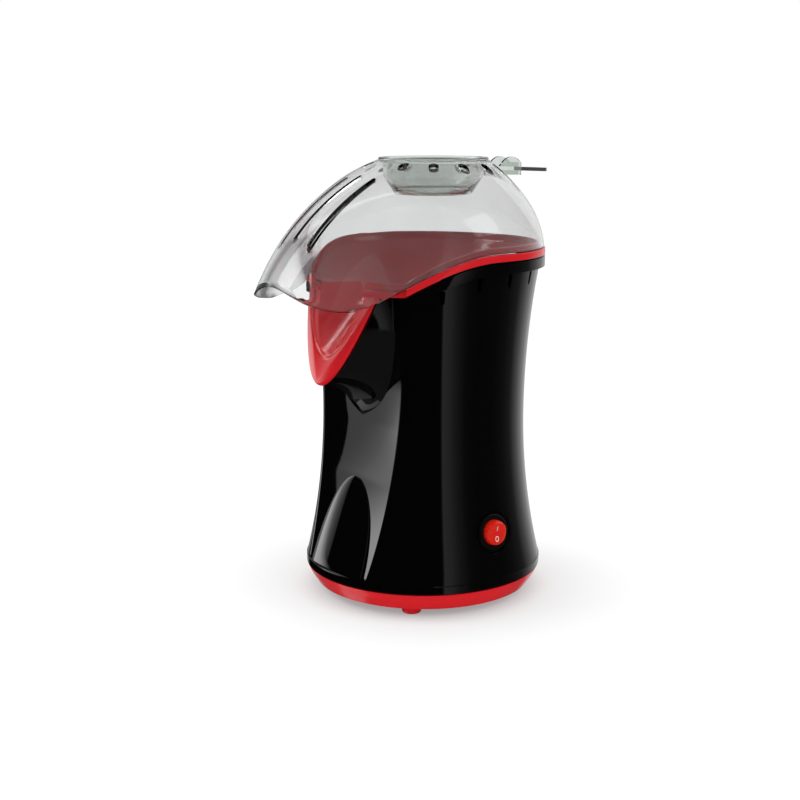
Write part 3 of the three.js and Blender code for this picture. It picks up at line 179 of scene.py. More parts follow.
class Finishes(bpy.types.PropertyGroup):
    black: colour("Black", 0.0012, 0.0012, 0.0014, "High-gloss black of the housing")
    red: colour("Red", 0.8, 0.012, 0.02, "Glossy red of the base, band and spout")
    clear: colour("Clear", 0.84, 0.85, 0.85, "Tint of the clear hood")
    cup: colour("Cup", 0.66, 0.70, 0.67, "Tint of the clear cup")
    rocker: colour("Rocker", 0.85, 0.018, 0.01, "Translucent red of the rocker")


SETTINGS = {
    "popcorn_housing": HousingSizes,
    "popcorn_hood": HoodSizes,
    "popcorn_spout": SpoutSizes,
    "popcorn_switch": SwitchSizes,
    "popcorn_finish": Finishes,
}


def housing():
    return bpy.context.scene.popcorn_housing


def hood():
    return bpy.context.scene.popcorn_hood


def spout():
    return bpy.context.scene.popcorn_spout


def switch():
    return bpy.context.scene.popcorn_switch


def finishes():
    return bpy.context.scene.popcorn_finish


# ---------- places ----------
def spread(count, start, end):
    return [start + (end - start) * i / (count - 1) for i in range(count)]


def clamp(value, low=0.0, high=1.0):
    return min(high, max(low, value))


def between(start, end, share):
    return start + (end - start) * share


def polar(radius, turn, z, back=0.0):
    """A point at a radius and an angle round the body; back moves it behind the axis."""
    return AXIS + Vector((radius * math.sin(turn), back - radius * math.cos(turn), z))


def point(x, y, z):
    return AXIS + Vector((x, y, z))


def from_front(turn):
    """The same angle between -180 and 180 degrees."""
    return (turn + math.pi) % math.tau - math.pi


def shifted(x=0.0, y=0.0, z=0.0):
    return Matrix.Translation((x, y, z))


def standing(turn=0.0, circle=0.0):
    """Turned to an angle round the body and moved out from its axis."""
    return Matrix.Translation(AXIS) @ Matrix.Rotation(turn, 4, "Z") @ shifted(y=-circle)


def wall_frame(radius, turn, z, tilt=0.0):
    """Local Z points out through the wall, tilted up by tilt, and local X points up."""
    flat = Vector((math.sin(turn), -math.cos(turn), 0))
    out = flat * math.cos(tilt) + Vector((0, 0, math.sin(tilt)))
    up = Vector((0, 0, math.cos(tilt))) - flat * math.sin(tilt)
    frame_matrix = Matrix((up, out.cross(up), out)).transposed().to_4x4()
    frame_matrix.translation = polar(radius, turn, z)
    return frame_matrix


def bezier(start, pull, end, t):
    return start * (1 - t) ** 2 + pull * (2 * t * (1 - t)) + end * t * t


# ---------- outline of the housing ----------
COLLAR_ROUNDING = math.radians(1.5)


def housing_radius(z):
    s = housing()
    if z < s.waist_height:
        below = (s.waist_height - z) / (s.waist_height - s.foot_band_top)
        return between(s.waist_radius, s.flare_radius, below**2)
    above = (z - s.waist_height) / (s.shoulder_height - s.waist_height)
    return between(s.waist_radius, s.shoulder_radius, above**2)


def rim_height(turn):
    s = housing()
    forward = max(0.0, s.band_radius * math.cos(turn)) / s.droop_reach
    return s.rim_height - s.rim_droop * forward**2.3


def crease_angle(z):
    s = housing()
    drop = clamp((s.crease_top - z) / (s.crease_top - s.foot_band_top))
    return s.crease_top_angle - (s.crease_top_angle - s.crease_base_angle) * drop**1.6


def crease_x(z):
    return housing_radius(z) * math.sin(crease_angle(z))


def face_depth(z, share):
    """Depth of the front face, as -y, at a share across from its middle to its crease."""
    s = housing()
    hollow = clamp((z - s.tongue_top) / (s.waist_height - s.tongue_top))
    sagitta = (1 + hollow) * MM
    return housing_radius(z) * math.cos(crease_angle(z)) - sagitta * (1 - share**2)


def collar_share(turn):
    """1 where the lip and the band stand out, 0 in front of their rounded ends."""
    past = abs(from_front(turn)) - housing().collar_end
    return math.sqrt(clamp(past / COLLAR_ROUNDING))


def flange_depth(z):
    s = spout()
    return s.tip_reach - (z - s.tip) * math.tan(s.lean)


def flange_half_width(z):
    """31 mm at 44 mm above the spout's tip, closing in a round to nothing at the tip."""
    return 31 * MM * max(0.0, (z - spout().tip) / (44 * MM)) ** 0.53


def bill_half_width(z):
    """Swells out to the beak above the bill's foot, and widens evenly from there."""
    s = spout()
    tall = 180 * MM - s.bill_bottom
    rise = clamp(z - s.bill_bottom, 0.0, tall)
    beak = s.bill_beak * (1 - math.exp(-rise / (11 * MM)))
    return beak + (s.bill_half_width - s.bill_beak) * rise / tall


# ---------- mesh tools ----------
SAME_PLACE = 1e-7


def skin(rings, closed=False, round_ring=True):
    """Faces over a row of equally long rings, closed on itself or filled at both ends.

    With round_ring off the rings are open, and the result is a sheet.
    """
    cols = len(rings[0]) if round_ring else len(rings[0]) - 1
    rows = len(rings) if closed else len(rings) - 1
    bm = bmesh.new()
    bmesh.ops.create_grid(bm, x_segments=cols, y_segments=rows, size=0.5)
    for vert in bm.verts:
        row = round((vert.co.y + 0.5) * rows) % len(rings)
        col = round((vert.co.x + 0.5) * cols) % len(rings[0])
        vert.co = rings[row][col]
    bmesh.ops.remove_doubles(bm, verts=bm.verts, dist=SAME_PLACE)
    if round_ring and not closed:
        bmesh.ops.holes_fill(bm, edges=bm.edges, sides=0)
    bmesh.ops.recalc_face_normals(bm, faces=bm.faces)
    return bm


def traced(*corners):
    """A profile from rows of a radius, a height and the steps, in mm, from there to its points."""
    return [
        (radius + out * MM, z + up * MM)
        for radius, z, *steps in corners
        for out, up in steps or [(0, 0)]
    ]


def turned(profile, steps=96, place=None):
    """Spins a profile of (radius, height), closed on itself or by the axis, round local Z."""
    bm = bmesh.new()
    verts = [bm.verts.new((radius, 0, z)) for radius, z in profile]
    edges = [bm.edges.new(pair) for pair in zip(verts, verts[1:])]
    if profile[0][0] > 0 or profile[-1][0] > 0:
        edges.append(bm.edges.new((verts[-1], verts[0])))
    bmesh.ops.spin(
        bm,
        geom=verts + edges,
        cent=(0, 0, 0),
        axis=(0, 0, 1),
        angle=math.tau,
        steps=steps,
        use_merge=True,
    )
    bmesh.ops.remove_doubles(bm, verts=bm.verts, dist=SAME_PLACE)
    bmesh.ops.recalc_face_normals(bm, faces=bm.faces)
    bm.transform(place or standing())
    return bm


def rod(radius, low, high, place, steps=48):
    return turned([(0, low), (radius, low), (radius, high), (0, high)], steps, place)


def block(low, high, place=None):
    bm = bmesh.new()
    size = Vector(high) - Vector(low)
    middle = Matrix.Translation((Vector(low) + Vector(high)) / 2)
    bmesh.ops.create_cube(bm, size=1, matrix=middle @ Matrix.Diagonal(size).to_4x4())
    bm.transform(place or standing())
    return bm


def prism(outline, low, high, place=None):
    """A flat outline of (x, y) points given its thickness along local Z."""
    bm = bmesh.new()
    face = bm.faces.new([bm.verts.new((x, y, low)) for x, y in outline])
    made = bmesh.ops.extrude_face_region(bm, geom=[face])["geom"]
    top = [v for v in made if isinstance(v, bmesh.types.BMVert)]
    bmesh.ops.translate(bm, verts=top, vec=(0, 0, high - low))
    bmesh.ops.recalc_face_normals(bm, faces=bm.faces)
    bm.transform(place or standing())
    return bm


def stadium(width, long, steps=12):
    """Outline of a slot with round ends, its length along its second axis."""
    r, half = width / 2, long / 2 - width / 2
    far = [(r * math.cos(a), half + r * math.sin(a)) for a in spread(steps, 0, math.pi)]
    return far + [(-x, -y) for x, y in far]


def shadow_object(bm):
    mesh = bpy.data.meshes.new("working")
    bm.to_mesh(mesh)
    bm.free()
    piece = bpy.data.objects.new("working", mesh)
    bpy.context.scene.collection.objects.link(piece)
    return piece


def combine(bm, others, operation):
    """Joins other shapes to this one, or cuts them from it."""
    piece = shadow_object(bm)
    tools = [shadow_object(other) for other in others]
    for tool in tools:
        step = piece.modifiers.new("step", "BOOLEAN")
        step.operation = operation
        step.object = tool
        step.solver = "MANIFOLD"
    bpy.context.view_layer.update()
    shape = piece.evaluated_get(bpy.context.evaluated_depsgraph_get())
    result = bpy.data.meshes.new_from_object(shape)
    made = bmesh.new()
    made.from_mesh(result)
    for used in [piece, *tools]:
        bpy.data.meshes.remove(used.data)
    bpy.data.meshes.remove(result)
    if not made.faces:
        raise RuntimeError("a shape was lost when it was joined or cut")
    return made


def together(shapes):
    """Several separate shapes in one bmesh."""
    whole = bmesh.new()
    for shape in shapes:
        mesh = bpy.data.meshes.new("working")
        shape.to_mesh(mesh)
        shape.free()
        whole.from_mesh(mesh)
        bpy.data.meshes.remove(mesh)
    return whole


def soften(bm, width, segments=2, sharper_than=50):
    """Rounds the edges that turn by more than an angle, in degrees."""
    limit = math.radians(sharper_than)
    edges = [e for e in bm.edges if len(e.link_faces) == 2 and e.calc_face_angle(0) > limit]
    bmesh.ops.bevel(
        bm,
        geom=edges,
        offset=width,
        affect="EDGES",
        segments=segments,
        profile=0.5,
        material=-1,
        clamp_overlap=True,
    )
    return bm


def thickened(bm, wall):
    bmesh.ops.recalc_face_normals(bm, faces=bm.faces)
    bmesh.ops.solidify(bm, geom=bm.faces, thickness=wall)
    return bm


def finished(name, bm, body, material, nodes=(), sharp=32):
    """Makes the piece, shades it, and puts it on its body in place of the CAD nodes."""
    mesh = bpy.data.meshes.new(name)
    bm.to_mesh(mesh)
    bm.free()
    mesh.shade_smooth()
    mesh.set_sharp_from_angle(angle=math.radians(sharp))
    mesh.materials.append(material)
    piece = bpy.data.objects.new(name, mesh)
    bpy.context.scene.collection.objects.link(piece)
    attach(piece, body)
    if nodes:
        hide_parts(*nodes)


# ---------- finishes ----------
DRIFT_SCALE = 28.0
TINT_DRIFT = 0.06
GRAIN_DEPTH = 0.2 * MM
RAMP_TOP = 4
COLLAR_PAINTED_SHADE = 0.76  # the collar's red as a share of the base's: a darker copy of the same red, painted shade
HIDDEN_RADIUS, HIDDEN_FROM = 66 * MM, -40 * MM  # the collar's skirt, seen through the vents, where shade is painted
SLOT_LENGTH, SLOT_MIDDLE = 49 * MM, 73.5 * MM  # the middle is measured forward of the axis
# Bounds of the dark walls painted in the slots and the holes, a painted dark reflection.
SLOT_MARGIN = 0.04 * MM
HOLES_ABOVE = 262 * MM
BAR_FROM = 77.2 * MM  # behind the axis; the handle bar's painted dark reflection starts there
# Where the hood's flanks get their deeper tint, partly the thicker path through the wall at a
# glance and partly painted shade: where it starts, and where it is full.
FLANK_GLANCES = (0.3, 0.52)
FLANK_ACROSS = (22 * MM, 32 * MM)
FLANK_HEIGHTS = (240 * MM, 230 * MM)
FLANK_FORWARD = (-26 * MM, -40 * MM)


class Nodes:
    """Writes nodes into a node tree."""

    def __init__(self, tree):
        self.tree = tree

    def feed(self, socket, value):
        """A socket is linked, and a plain value is set."""
        if isinstance(value, bpy.types.NodeSocket):
            self.tree.links.new(value, socket)
        else:
            socket.default_value = value

    def new(self, kind, values=(), **settings):
        """A node with values or sockets fed to its inputs by name or number."""
        node = self.tree.nodes.new(kind)
        for name, setting in settings.items():
            setattr(node, name, setting)
        for key, value in dict(values).items():
            self.feed(node.inputs[key], value)
        return node

    def __call__(self, operation, *values):
        """The result of a math node."""
        return self.new("ShaderNodeMath", enumerate(values), operation=operation).outputs[0]

    def product(self, *values):
        total = values[0]
        for value in values[1:]:
            total = self("MULTIPLY", total, value)
        return total

    def share(self, value, none, full):
        """0 where the value is at none, 1 where it is at full, and even steps between."""
        limits = {"Value": value, "From Min": none, "From Max": full}
        return self.new("ShaderNodeMapRange", limits).outputs["Result"]

    def mixed(self, share, first, second, kind="FLOAT"):
        """The first value where the share is 0 and the second where it is 1."""
        node = self.new("ShaderNodeMix", data_type=kind)
        for socket, value in zip(("Factor", "A", "B"), (share, first, second)):
            self.feed(node.inputs[socket], value)
        return node.outputs["Result"]

    def parts(self, vector):
        """The X, Y and Z of a vector socket."""
        return tuple(self.new("ShaderNodeSeparateXYZ", {0: vector}).outputs)

    def place(self):
        """Where the surface is, as X, Y and Z."""
        return self.parts(self.new("ShaderNodeTexCoord").outputs["Object"])

    def facing(self):
        """Which way the surface faces, as X, Y and Z."""
        return self.parts(self.new("ShaderNodeNewGeometry").outputs["True Normal"])

    def upright(self):
        """1 where the surface stands upright."""
        return self("LESS_THAN", self("ABSOLUTE", self.facing()[2]), 0.2)

    def rays(self, *kinds):
        """1 for the kinds of ray named, 0 for the rest."""
        path = self.new("ShaderNodeLightPath").outputs
        total = path[kinds[0]]
        for kind in kinds[1:]:
            total = self("MAXIMUM", total, path[kind])
        return total

    def levels(self, value, low, high, stops):
        """A brightness, up to RAMP_TOP, that follows (value, level) stops between low and high."""
        ramp = self.new("ShaderNodeValToRGB", {"Fac": self.share(value, low, high)})
        elements = ramp.color_ramp.elements
        stops = [((at - low) / (high - low), grey(level / RAMP_TOP)) for at, level in stops]
        for element, (at, level) in zip(elements, (stops[0], stops[-1])):
            element.position, element.color = at, level
        for at, level in stops[1:-1]:
            elements.new(at).color = level
        return self("MULTIPLY", ramp.outputs["Color"], RAMP_TOP)


def grey(level):
    return (level, level, level, 1)


def moulded(name, base, roughness, mottle=0.25, grain=900.0, bump=0.02, shades=None, **sockets):
    """Moulded or plated finish: its roughness drifts and its surface carries a fine grain."""
    known = bpy.data.materials.get(name)
    if known:
        return known
    material = bpy.data.materials.new(name)
    material.use_nodes = True
    shader = material.node_tree.nodes["Principled BSDF"].inputs
    nodes = Nodes(material.node_tree)
    place = nodes.new("ShaderNodeTexCoord").outputs["Object"]

    def noise(scale, detail):
        settings = {"Vector": place, "Scale": scale, "Detail": detail}
        return nodes.new("ShaderNodeTexNoise", settings).outputs["Fac"]

    drift = noise(DRIFT_SCALE, 3.0)
    limits = {"To Min": roughness * (1 - mottle), "To Max": roughness * (1 + mottle)}
    gloss = nodes.new("ShaderNodeMapRange", {"Value": drift, **limits})
    nodes.feed(shader["Roughness"], gloss.outputs["Result"])
    deep, pale = [
        (*[min(1.0, part * (1 + change)) for part in base], 1)
        for change in (-TINT_DRIFT, TINT_DRIFT)
    ]
    nodes.feed(shader["Base Color"], nodes.mixed(drift, deep, pale, "RGBA"))
    if bump:
        relief = {"Strength": bump, "Distance": GRAIN_DEPTH, "Height": noise(grain, 2.0)}
        nodes.feed(shader["Normal"], nodes.new("ShaderNodeBump", relief).outputs["Normal"])
    for socket, value in sockets.items():
        shader[socket.replace("_", " ").title().replace("Ior", "IOR")].default_value = value
    # shades paints shade, or a dark reflection, into the colour
    if shades:
        shades(material, nodes)
    return material


def paint_shade(material, mask, dark):
    """Paints shade into the finish: darkens it where a mask, made from its nodes, is 1."""
    tint = material.node_tree.nodes["Principled BSDF"].inputs["Base Color"]
    nodes = Nodes(material.node_tree)
    shade = (dark, dark, dark * 1.05, 1)
    nodes.feed(tint, nodes.mixed(mask, tint.links[0].from_socket, shade, "RGBA"))


def collar_painted_shade(material, nodes):
    """Painted shade: the skirt and the underside, which show only through the vents, are painted
    dark at the back.
    """
    x, y, _ = nodes.place()
    out_x, out_y, out_z = nodes.facing()
    y = nodes("SUBTRACT", y, AXIS.y)
    outward = nodes("MULTIPLY_ADD", out_y, y, nodes("MULTIPLY", out_x, x))
    reach = nodes("SQRT", nodes("MULTIPLY_ADD", y, y, nodes("MULTIPLY", x, x)))
    skirt = nodes.product(
        nodes("GREATER_THAN", outward, 0),
        nodes("LESS_THAN", reach, HIDDEN_RADIUS),
    )
    underside = nodes("LESS_THAN", out_z, -0.3)
    behind = nodes("GREATER_THAN", y, HIDDEN_FROM)
    paint_shade(material, nodes.product(behind, nodes("MAXIMUM", skirt, underside)), 0.004)


def hood_painted_shade(material, nodes):
    """A deeper tint where the flanks are seen at a glance, partly painted shade, and dark walls
    painted in the slots and holes as a painted dark reflection.
    """
    h = hood()
    x, y, z = nodes.place()
    across = nodes("ABSOLUTE", x)
    glancing = nodes.new("ShaderNodeLayerWeight", {"Blend": 0.5}).outputs["Facing"]
    # painted shade on the flanks, deepening the tint of the wall seen at a glance
    flanks = nodes.product(
        nodes.share(glancing, *FLANK_GLANCES),
        nodes.share(across, *FLANK_ACROSS),
        nodes.share(z, *FLANK_HEIGHTS),
        nodes.share(y, *FLANK_FORWARD),
    )
    paint_shade(material, flanks, 0.05)
    # dark walls painted in the slots and holes: a painted dark reflection
    outer = nodes("ABSOLUTE", nodes("SUBTRACT", across, h.slot_offset))
    along = nodes("ABSOLUTE", nodes("SUBTRACT", y, AXIS.y - SLOT_MIDDLE))
    slots = nodes.product(
        nodes("LESS_THAN", nodes("MINIMUM", across, outer), h.slot_width / 2 + SLOT_MARGIN),
        nodes("LESS_THAN", along, SLOT_LENGTH / 2 + SLOT_MARGIN),
    )
    holes = nodes.product(nodes.upright(), nodes("GREATER_THAN", z, HOLES_ABOVE))
    paint_shade(material, nodes("MAXIMUM", slots, holes), 0.015)


def cup_painted_shade(material, nodes):
    """The sides of the handle's bar are painted dark, a painted dark reflection."""
    h = hood()
    _, y, z = nodes.place()
    bar = nodes.product(
        nodes("GREATER_THAN", y, AXIS.y + BAR_FROM),
        nodes("LESS_THAN", z, h.handle_height + h.handle_thickness),
        nodes.upright(),
    )
    paint_shade(material, bar, 0.06)


def clear(name, tint, roughness, shades):
    glass = {"transmission_weight": 1.0, "ior": 1.46}
    return moulded(name, tint, roughness, bump=0.0, shades=shades, **glass)


def clear_plastic():
    return clear("ClearPlastic", finishes().clear, 0.02, hood_painted_shade)


def cup_plastic():
    return clear("CupPlastic", finishes().cup, 0.03, cup_painted_shade)


def gloss_black():
    return moulded("GlossBlack", finishes().black, 0.025, grain=240.0, bump=0.006)


def gloss_red():
    return moulded("GlossRed", finishes().red, 0.16, grain=420.0)


# The collar's red is the base's red painted darker as shade, with more painted shade on its hidden
# skirt.
def shaded_collar_red():
    shaded_red = [part * COLLAR_PAINTED_SHADE for part in finishes().red]
    return moulded("CollarRedPaintedShade", shaded_red, 0.16, grain=420.0, shades=collar_painted_shade)


def rocker_red():
    return moulded("RockerRed", finishes().rocker, 0.12, bump=0.0, subsurface_weight=0.5)


PLAIN = {
    "SwitchBlack": (
        (0.003, 0.003, 0.003),
        0.3,
        {"grain": 1600.0, "bump": 0.06, "specular_ior_level": 0.3},
    ),
    "MarkWhite": ((0.8, 0.8, 0.8), 0.4, {}),
    "MattBlack": ((0.03, 0.03, 0.032), 0.55, {"grain": 1400.0, "bump": 0.12}),
    "SpunAluminium": ((0.72, 0.72, 0.7), 0.3, {"grain": 700.0, "bump": 0.06, "metallic": 1.0}),
    "PlatedSteel": ((0.55, 0.56, 0.57), 0.32, {"grain": 1100.0, "bump": 0.08, "metallic": 1.0}),
    "MicaSheet": ((0.42, 0.31, 0.16), 0.6, {"mottle": 0.4, "grain": 500.0, "bump": 0.15}),
    "CreamCeramic": ((0.78, 0.74, 0.66), 0.45, {"bump": 0.08}),
    "CircuitGreen": ((0.05, 0.2, 0.08), 0.4, {"grain": 800.0, "bump": 0.05}),
}


def plain(name):
    """A finish whose tint, roughness and grain are not among the settings."""
    tint, roughness, settings = PLAIN[name]
    return moulded(name, tint, roughness, **settings)


# ---------- housing ----------
SCREW_ANGLES = [math.radians(a) for a in (60, 120, 240, 300)]
SCREW_CIRCLE = 63 * MM
FOOT_ANGLES = [math.radians(a) for a in (45, 135, 225, 315)]
FOOT_CIRCLE = 60 * MM
VENT_COUNT = 14
FIRST_VENT = math.radians(60.5)
VENT_WIDTH, VENT_HEIGHT = 3.4 * MM, 8.6 * MM
BESIDE_CREASE = 6  # degrees beside each crease that have closer columns
# The cone under the funnel, from the popping chamber's flange up to the collar's rim.
POT_TOP, POT_FLANGE_RADIUS = 189.5 * MM, 45.4 * MM
FUNNEL_TOP, FUNNEL_RADIUS = 200 * MM, 69 * MM


def shell_rings():
    """Rings up the side wall and over the lip, each from crease to crease round the back."""
    s = housing()
    near = spread(25, 0, BESIDE_CREASE)
    middle = spread(98, 0, 1)[1:-1]

    def degrees(column, crease):
        if column < len(near):
            return crease + near[column]
        column -= len(near)
        if column < len(middle):
            return crease + BESIDE_CREASE + (360 - 2 * BESIDE_CREASE - 2 * crease) * middle[column]
        return 360 - BESIDE_CREASE - crease + near[column - len(middle)]

    def ring(height_at, radius_at):
        points = []
        for column in range(2 * len(near) + len(middle)):
            z = s.crease_top
            for _ in range(4):
                turn = math.radians(degrees(column, math.degrees(crease_angle(z))))
                z = height_at(turn)
            points.append(polar(radius_at(z, turn), turn, z))
        return points

    def under(turn):
        return rim_height(turn) - s.lip_height

    def lip(turn):
        return between(s.shoulder_radius, s.band_radius, collar_share(turn))

    def wall(z, turn):
        return housing_radius(z)

    foot, rim = s.foot_band_top, s.gap
    rings = [ring(lambda a: foot - 1 * MM, lambda z, a: housing_radius(foot))]
    for t in spread(46, 0, 1):
        share = 1 - (1 - t) ** 1.5
        rings.append(ring(lambda a, share=share: foot + share * (under(a) - foot), wall))
    for out, up in [(0.2, 0.1), (0.44, 0.275), (1.0, 0.6)]:
        rings.append(
            ring(
                lambda a, up=up: under(a) + up * MM,
                lambda z, a, out=out: between(housing_radius(z), lip(a), out),
            )
        )
    for inside, down in [(0.0, 0.7), (0.15, 0.3), (0.5, 0.08), (0.9, 0.0)]:
        rings.append(
            ring(
                lambda a, down=down: rim_height(a) - rim - down * MM,
                lambda z, a, inside=inside: lip(a) - inside * MM,
            )
        )
    rings.append(ring(lambda a: rim_height(a) - rim, lambda z, a: s.shoulder_radius - s.wall))
    return rings


def vent(turn):
    """A slot with a square top, against the lip, and a rounded foot."""
    s = housing()
    r, half = VENT_WIDTH / 2, VENT_HEIGHT / 2
    z = rim_height(turn) - s.lip_height - VENT_HEIGHT / 2 - 0.6 * MM
    arc = spread(9, math.pi / 2, 1.5 * math.pi)
    outline = [(half, -r), (half, r)]
    outline += [(r - half + 0.8 * r * math.cos(a), 0.8 * r * math.sin(a)) for a in arc]
    return prism(outline, -6 * MM, 4 * MM, wall_frame(s.shoulder_radius, turn, z))


def switch_frame():
    s = switch()
    return wall_frame(housing_radius(s.height), math.pi / 2, s.height, s.tilt)


def foot_band():
    """The plain band round the housing's foot, and the sill under the front face."""
    s = housing()
    low, high = s.base_top + s.gap, s.foot_band_top
    outer, inner = s.band_radius, s.band_radius - s.wall
    ring = turned(
        traced(
            (inner, low),
            (outer, low, (-0.35, 0), (0, 0.35)),
            (outer, high, (0, -0.35), (-0.35, 0)),
            (inner, high),
        ),
        192,
    )
    reach = s.crease_base_angle + math.radians(4)
    r, rear = outer - s.wall / 2, -66 * MM
    arc = [(r * math.sin(a), -r * math.cos(a)) for a in spread(40, -reach, reach)]
    sill = prism(arc + [(arc[-1][0], rear), (arc[0][0], rear)], low, high)
    return combine(ring, [sill], "UNION")


class POPCORN_OT_housing(bpy.types.Operator):
    """Builds the black side wall with its lip, vents and switch recess"""

    bl_idname = "popcorn.housing"
    bl_label = "Housing"

    def execute(self, context):
        s, w = housing(), switch()
        wall = thickened(skin(shell_rings(), round_ring=False), s.wall)
        deep, wide = -w.recess_depth, w.recess_radius
        pad = rod(wide + 2 * MM, deep - 2.2 * MM, deep + 0.4 * MM, switch_frame())
        body = combine(wall, [foot_band(), pad], "UNION")
        vents = [vent(a) for a in spread(VENT_COUNT, FIRST_VENT, math.tau - FIRST_VENT)]
        recess = turned(
            traced(
                (0, deep),
                (wide, deep),
                (wide, 0, (0, 0), (0.8, 0.8), (0.8, 8)),
                (0, 0, (0, 8)),
            ),
            64,
            switch_frame(),
        )
        barrel = rod(w.barrel_radius + 0.6 * MM, -9 * MM, 6 * MM, switch_frame())
        gland = rod(4.9 * MM, -8 * MM, 8 * MM, gland_frame())
        body = combine(body, [together(vents), recess, barrel, gland], "DIFFERENCE")
        finished("housing_shell", body, "housing", gloss_black(), ["outer_shell"])
        return {"FINISHED"}


# ---------- front panel ----------
BILL_PULL = (0.8, 0.58, 0.09)  # how far the bill's curve is pulled to its foot, in X, Y and Z
ROOT_FLARE, FLARE_FROM, FLARE_OVER = 1.1 * MM, 0.93, 0.07  # its root widens at the face


def bill_ring(back, inset):
    """One ring of the bill, from the flange's plane, 0, back to its foot on the face, 1."""
    s, top = spout(), housing().panel_top
    ring = []
    for u in spread(73, -1, 1):
        share = abs(u)
        edge_z = between(s.tip, top, share**1.8)
        foot_z = between(s.bill_bottom, top, share**1.4)
        foot_x = bill_half_width(foot_z)
        edge = Vector((flange_half_width(edge_z), -flange_depth(edge_z), edge_z))
        foot = Vector((foot_x, -face_depth(foot_z, min(1, foot_x / crease_x(foot_z))), foot_z))
        pull = Vector([between(*ends) for ends in zip(edge, foot, BILL_PULL)])
        at = bezier(edge, pull, foot, min(1.0, back))
        flare = ROOT_FLARE * clamp((back - FLARE_FROM) / FLARE_OVER) ** 2
        across = max(0.0, at.x - inset * math.sqrt(share)) + flare * math.sqrt(share)
        high = at.z + (inset - flare) * (1 - share)
        ring.append(point(math.copysign(across, u), at.y, high))
    return ring


def bill_skin(inset, sunk):
    """The bill's shape, drawn in by inset, with its root sunk behind the face."""
    rings = [bill_ring(back, inset) for back in spread(28, 0, 1)]
    root = [p + Vector((0, sunk, 0)) for p in bill_ring(1, inset)]
    for foot in rings[-1]:
        foot.y -= 0.12 * MM
    return skin([*rings, root])


def flange_place():
    s = spout()
    tip = Matrix.Translation(point(0, -s.tip_reach, s.tip))
    return tip @ Matrix.Rotation(-s.lean, 4, "X")


def before_flange(depth):
    """Everything in front of a plane at a depth behind the flange's face."""
    far = 90 * MM
    return block((-far, -far, -far), (far, depth, 120 * MM), flange_place())


def tongue():
    """The raised tongue at the foot of the face, round at its top."""
    s = housing()
    low = s.foot_band_top + s.gap
    rings = []
    for t in spread(40, 0, 1):
        rise = math.sin(t * math.pi / 2) * 0.9995
        z = low + rise * (s.tongue_top - low)
        width = s.tongue_half_width * math.sqrt(1 - rise**2)
        bulge = s.tongue_bulge * (1.25 - 1.05 * rise**1.5)
        ring = []
        for a in spread(57, -math.pi / 2, math.pi / 2):
            x = width * math.sin(a)
            depth = face_depth(z, min(1, abs(x) / crease_x(z)))
            ring.append(point(x, -depth - bulge * max(0.0, math.cos(a)) ** 0.7, z))
        rear = s.wall / 2 - face_depth(z, 0)
        ring += [point(width * 0.98, rear, z), point(-width * 0.98, rear, z)]
        rings.append(ring)
    return skin(rings)


def front_face():
    s = housing()
    rings = []
    for z in spread(90, s.foot_band_top + s.gap, s.panel_top):
        half = crease_angle(z) - s.gap / housing_radius(z)
        edge = housing_radius(z) * math.sin(half)
        ring = [point(share * edge, -face_depth(z, share), z) for share in spread(49, -1, 1)]
        rings.append(ring)
    return soften(thickened(skin(rings, round_ring=False), s.wall), 0.5 * MM, 3)


class POPCORN_OT_front_panel(bpy.types.Operator):
    """Builds the black front face with the spout's bill and the tongue"""

    bl_idname = "popcorn.front_panel"
    bl_label = "Front Panel"

    def execute(self, context):
        s, narrow, wide, high = housing(), POT_FLANGE_RADIUS, FUNNEL_RADIUS, 225 * MM
        body = combine(front_face(), [bill_skin(0, s.wall / 2), tongue()], "UNION")
        funnel = turned(
            [(0, POT_TOP), (narrow, POT_TOP), (wide, FUNNEL_TOP), (wide, high), (0, high)]
        )
        hollow = bill_skin(2.2 * MM, 3 * s.wall)
        body = combine(body, [hollow, before_flange(spout().flange + s.gap), funnel], "DIFFERENCE")
        finished("front_face", body, "housing", gloss_black(), ["front_panel"])
        return {"FINISHED"}


# ---------- red collar and spout ----------
def collar_ring():
    """The band, the skirt that carries the hood, and the funnel down to the chamber."""
    s = housing()
    skirt, seat = 73.5 * MM, POT_TOP + s.gap
    wall, mouth = skirt - 1.8 * MM, 40.5 * MM
    past_end = skirt + 0.3 * MM  # the band's radius past its rounded ends
    fine = [s.collar_end + COLLAR_ROUNDING * t for t in (0, 0.03, 0.1, 0.22, 0.4, 0.65, 1)]
    turns = sorted(spread(193, 0, math.tau)[:-1] + fine + [math.tau - a for a in fine])
    rings = []
    for turn in turns:
        rim = max(rim_height(turn), FUNNEL_TOP + s.gap)
        band = between(past_end, s.band_radius, collar_share(turn))
        top = rim + s.band_thickness
        section = traced(
            (band, rim, (-0.5, 0), (-0.12, 0.15), (0, 0.5)),
            (band, top, (0, -1), (-0.15, -0.5), (-0.5, -0.15), (-1.1, 0)),
            (skirt, top, (0.12, 0), (0, 0.3), (0, 3.5), (-0.5, 4)),
            (wall, top, (0.5, 4), (0, 3.5)),
            (wall, rim, (-0.4, 4.4), (-1.4, 2.7)),
            (mouth, seat, (0.6, 3.7), (0, 3), (0, 0)),
            (POT_FLANGE_RADIUS, seat),
            (FUNNEL_RADIUS, rim),
        )
        rings.append([polar(radius, turn, z) for radius, z in section])
    return skin(rings, closed=True)


# The spout's channel, in millimetres.
CHANNEL_SPREAD = 4.75  # its half-width over the root of its depth
CHANNEL_HALF_WIDTH = 30
CHANNEL_RISE = 16  # its floor at the flange, above the spout's tip
CHANNEL_REAR = (-43, 195.6)  # y and z of its floor at the back
CHANNEL_CLIMB = 1.98  # of its floor along the flange, for each millimetre behind it
SLANTED_WALL = 1.35  # height of its slanted wall over the wall's thickness


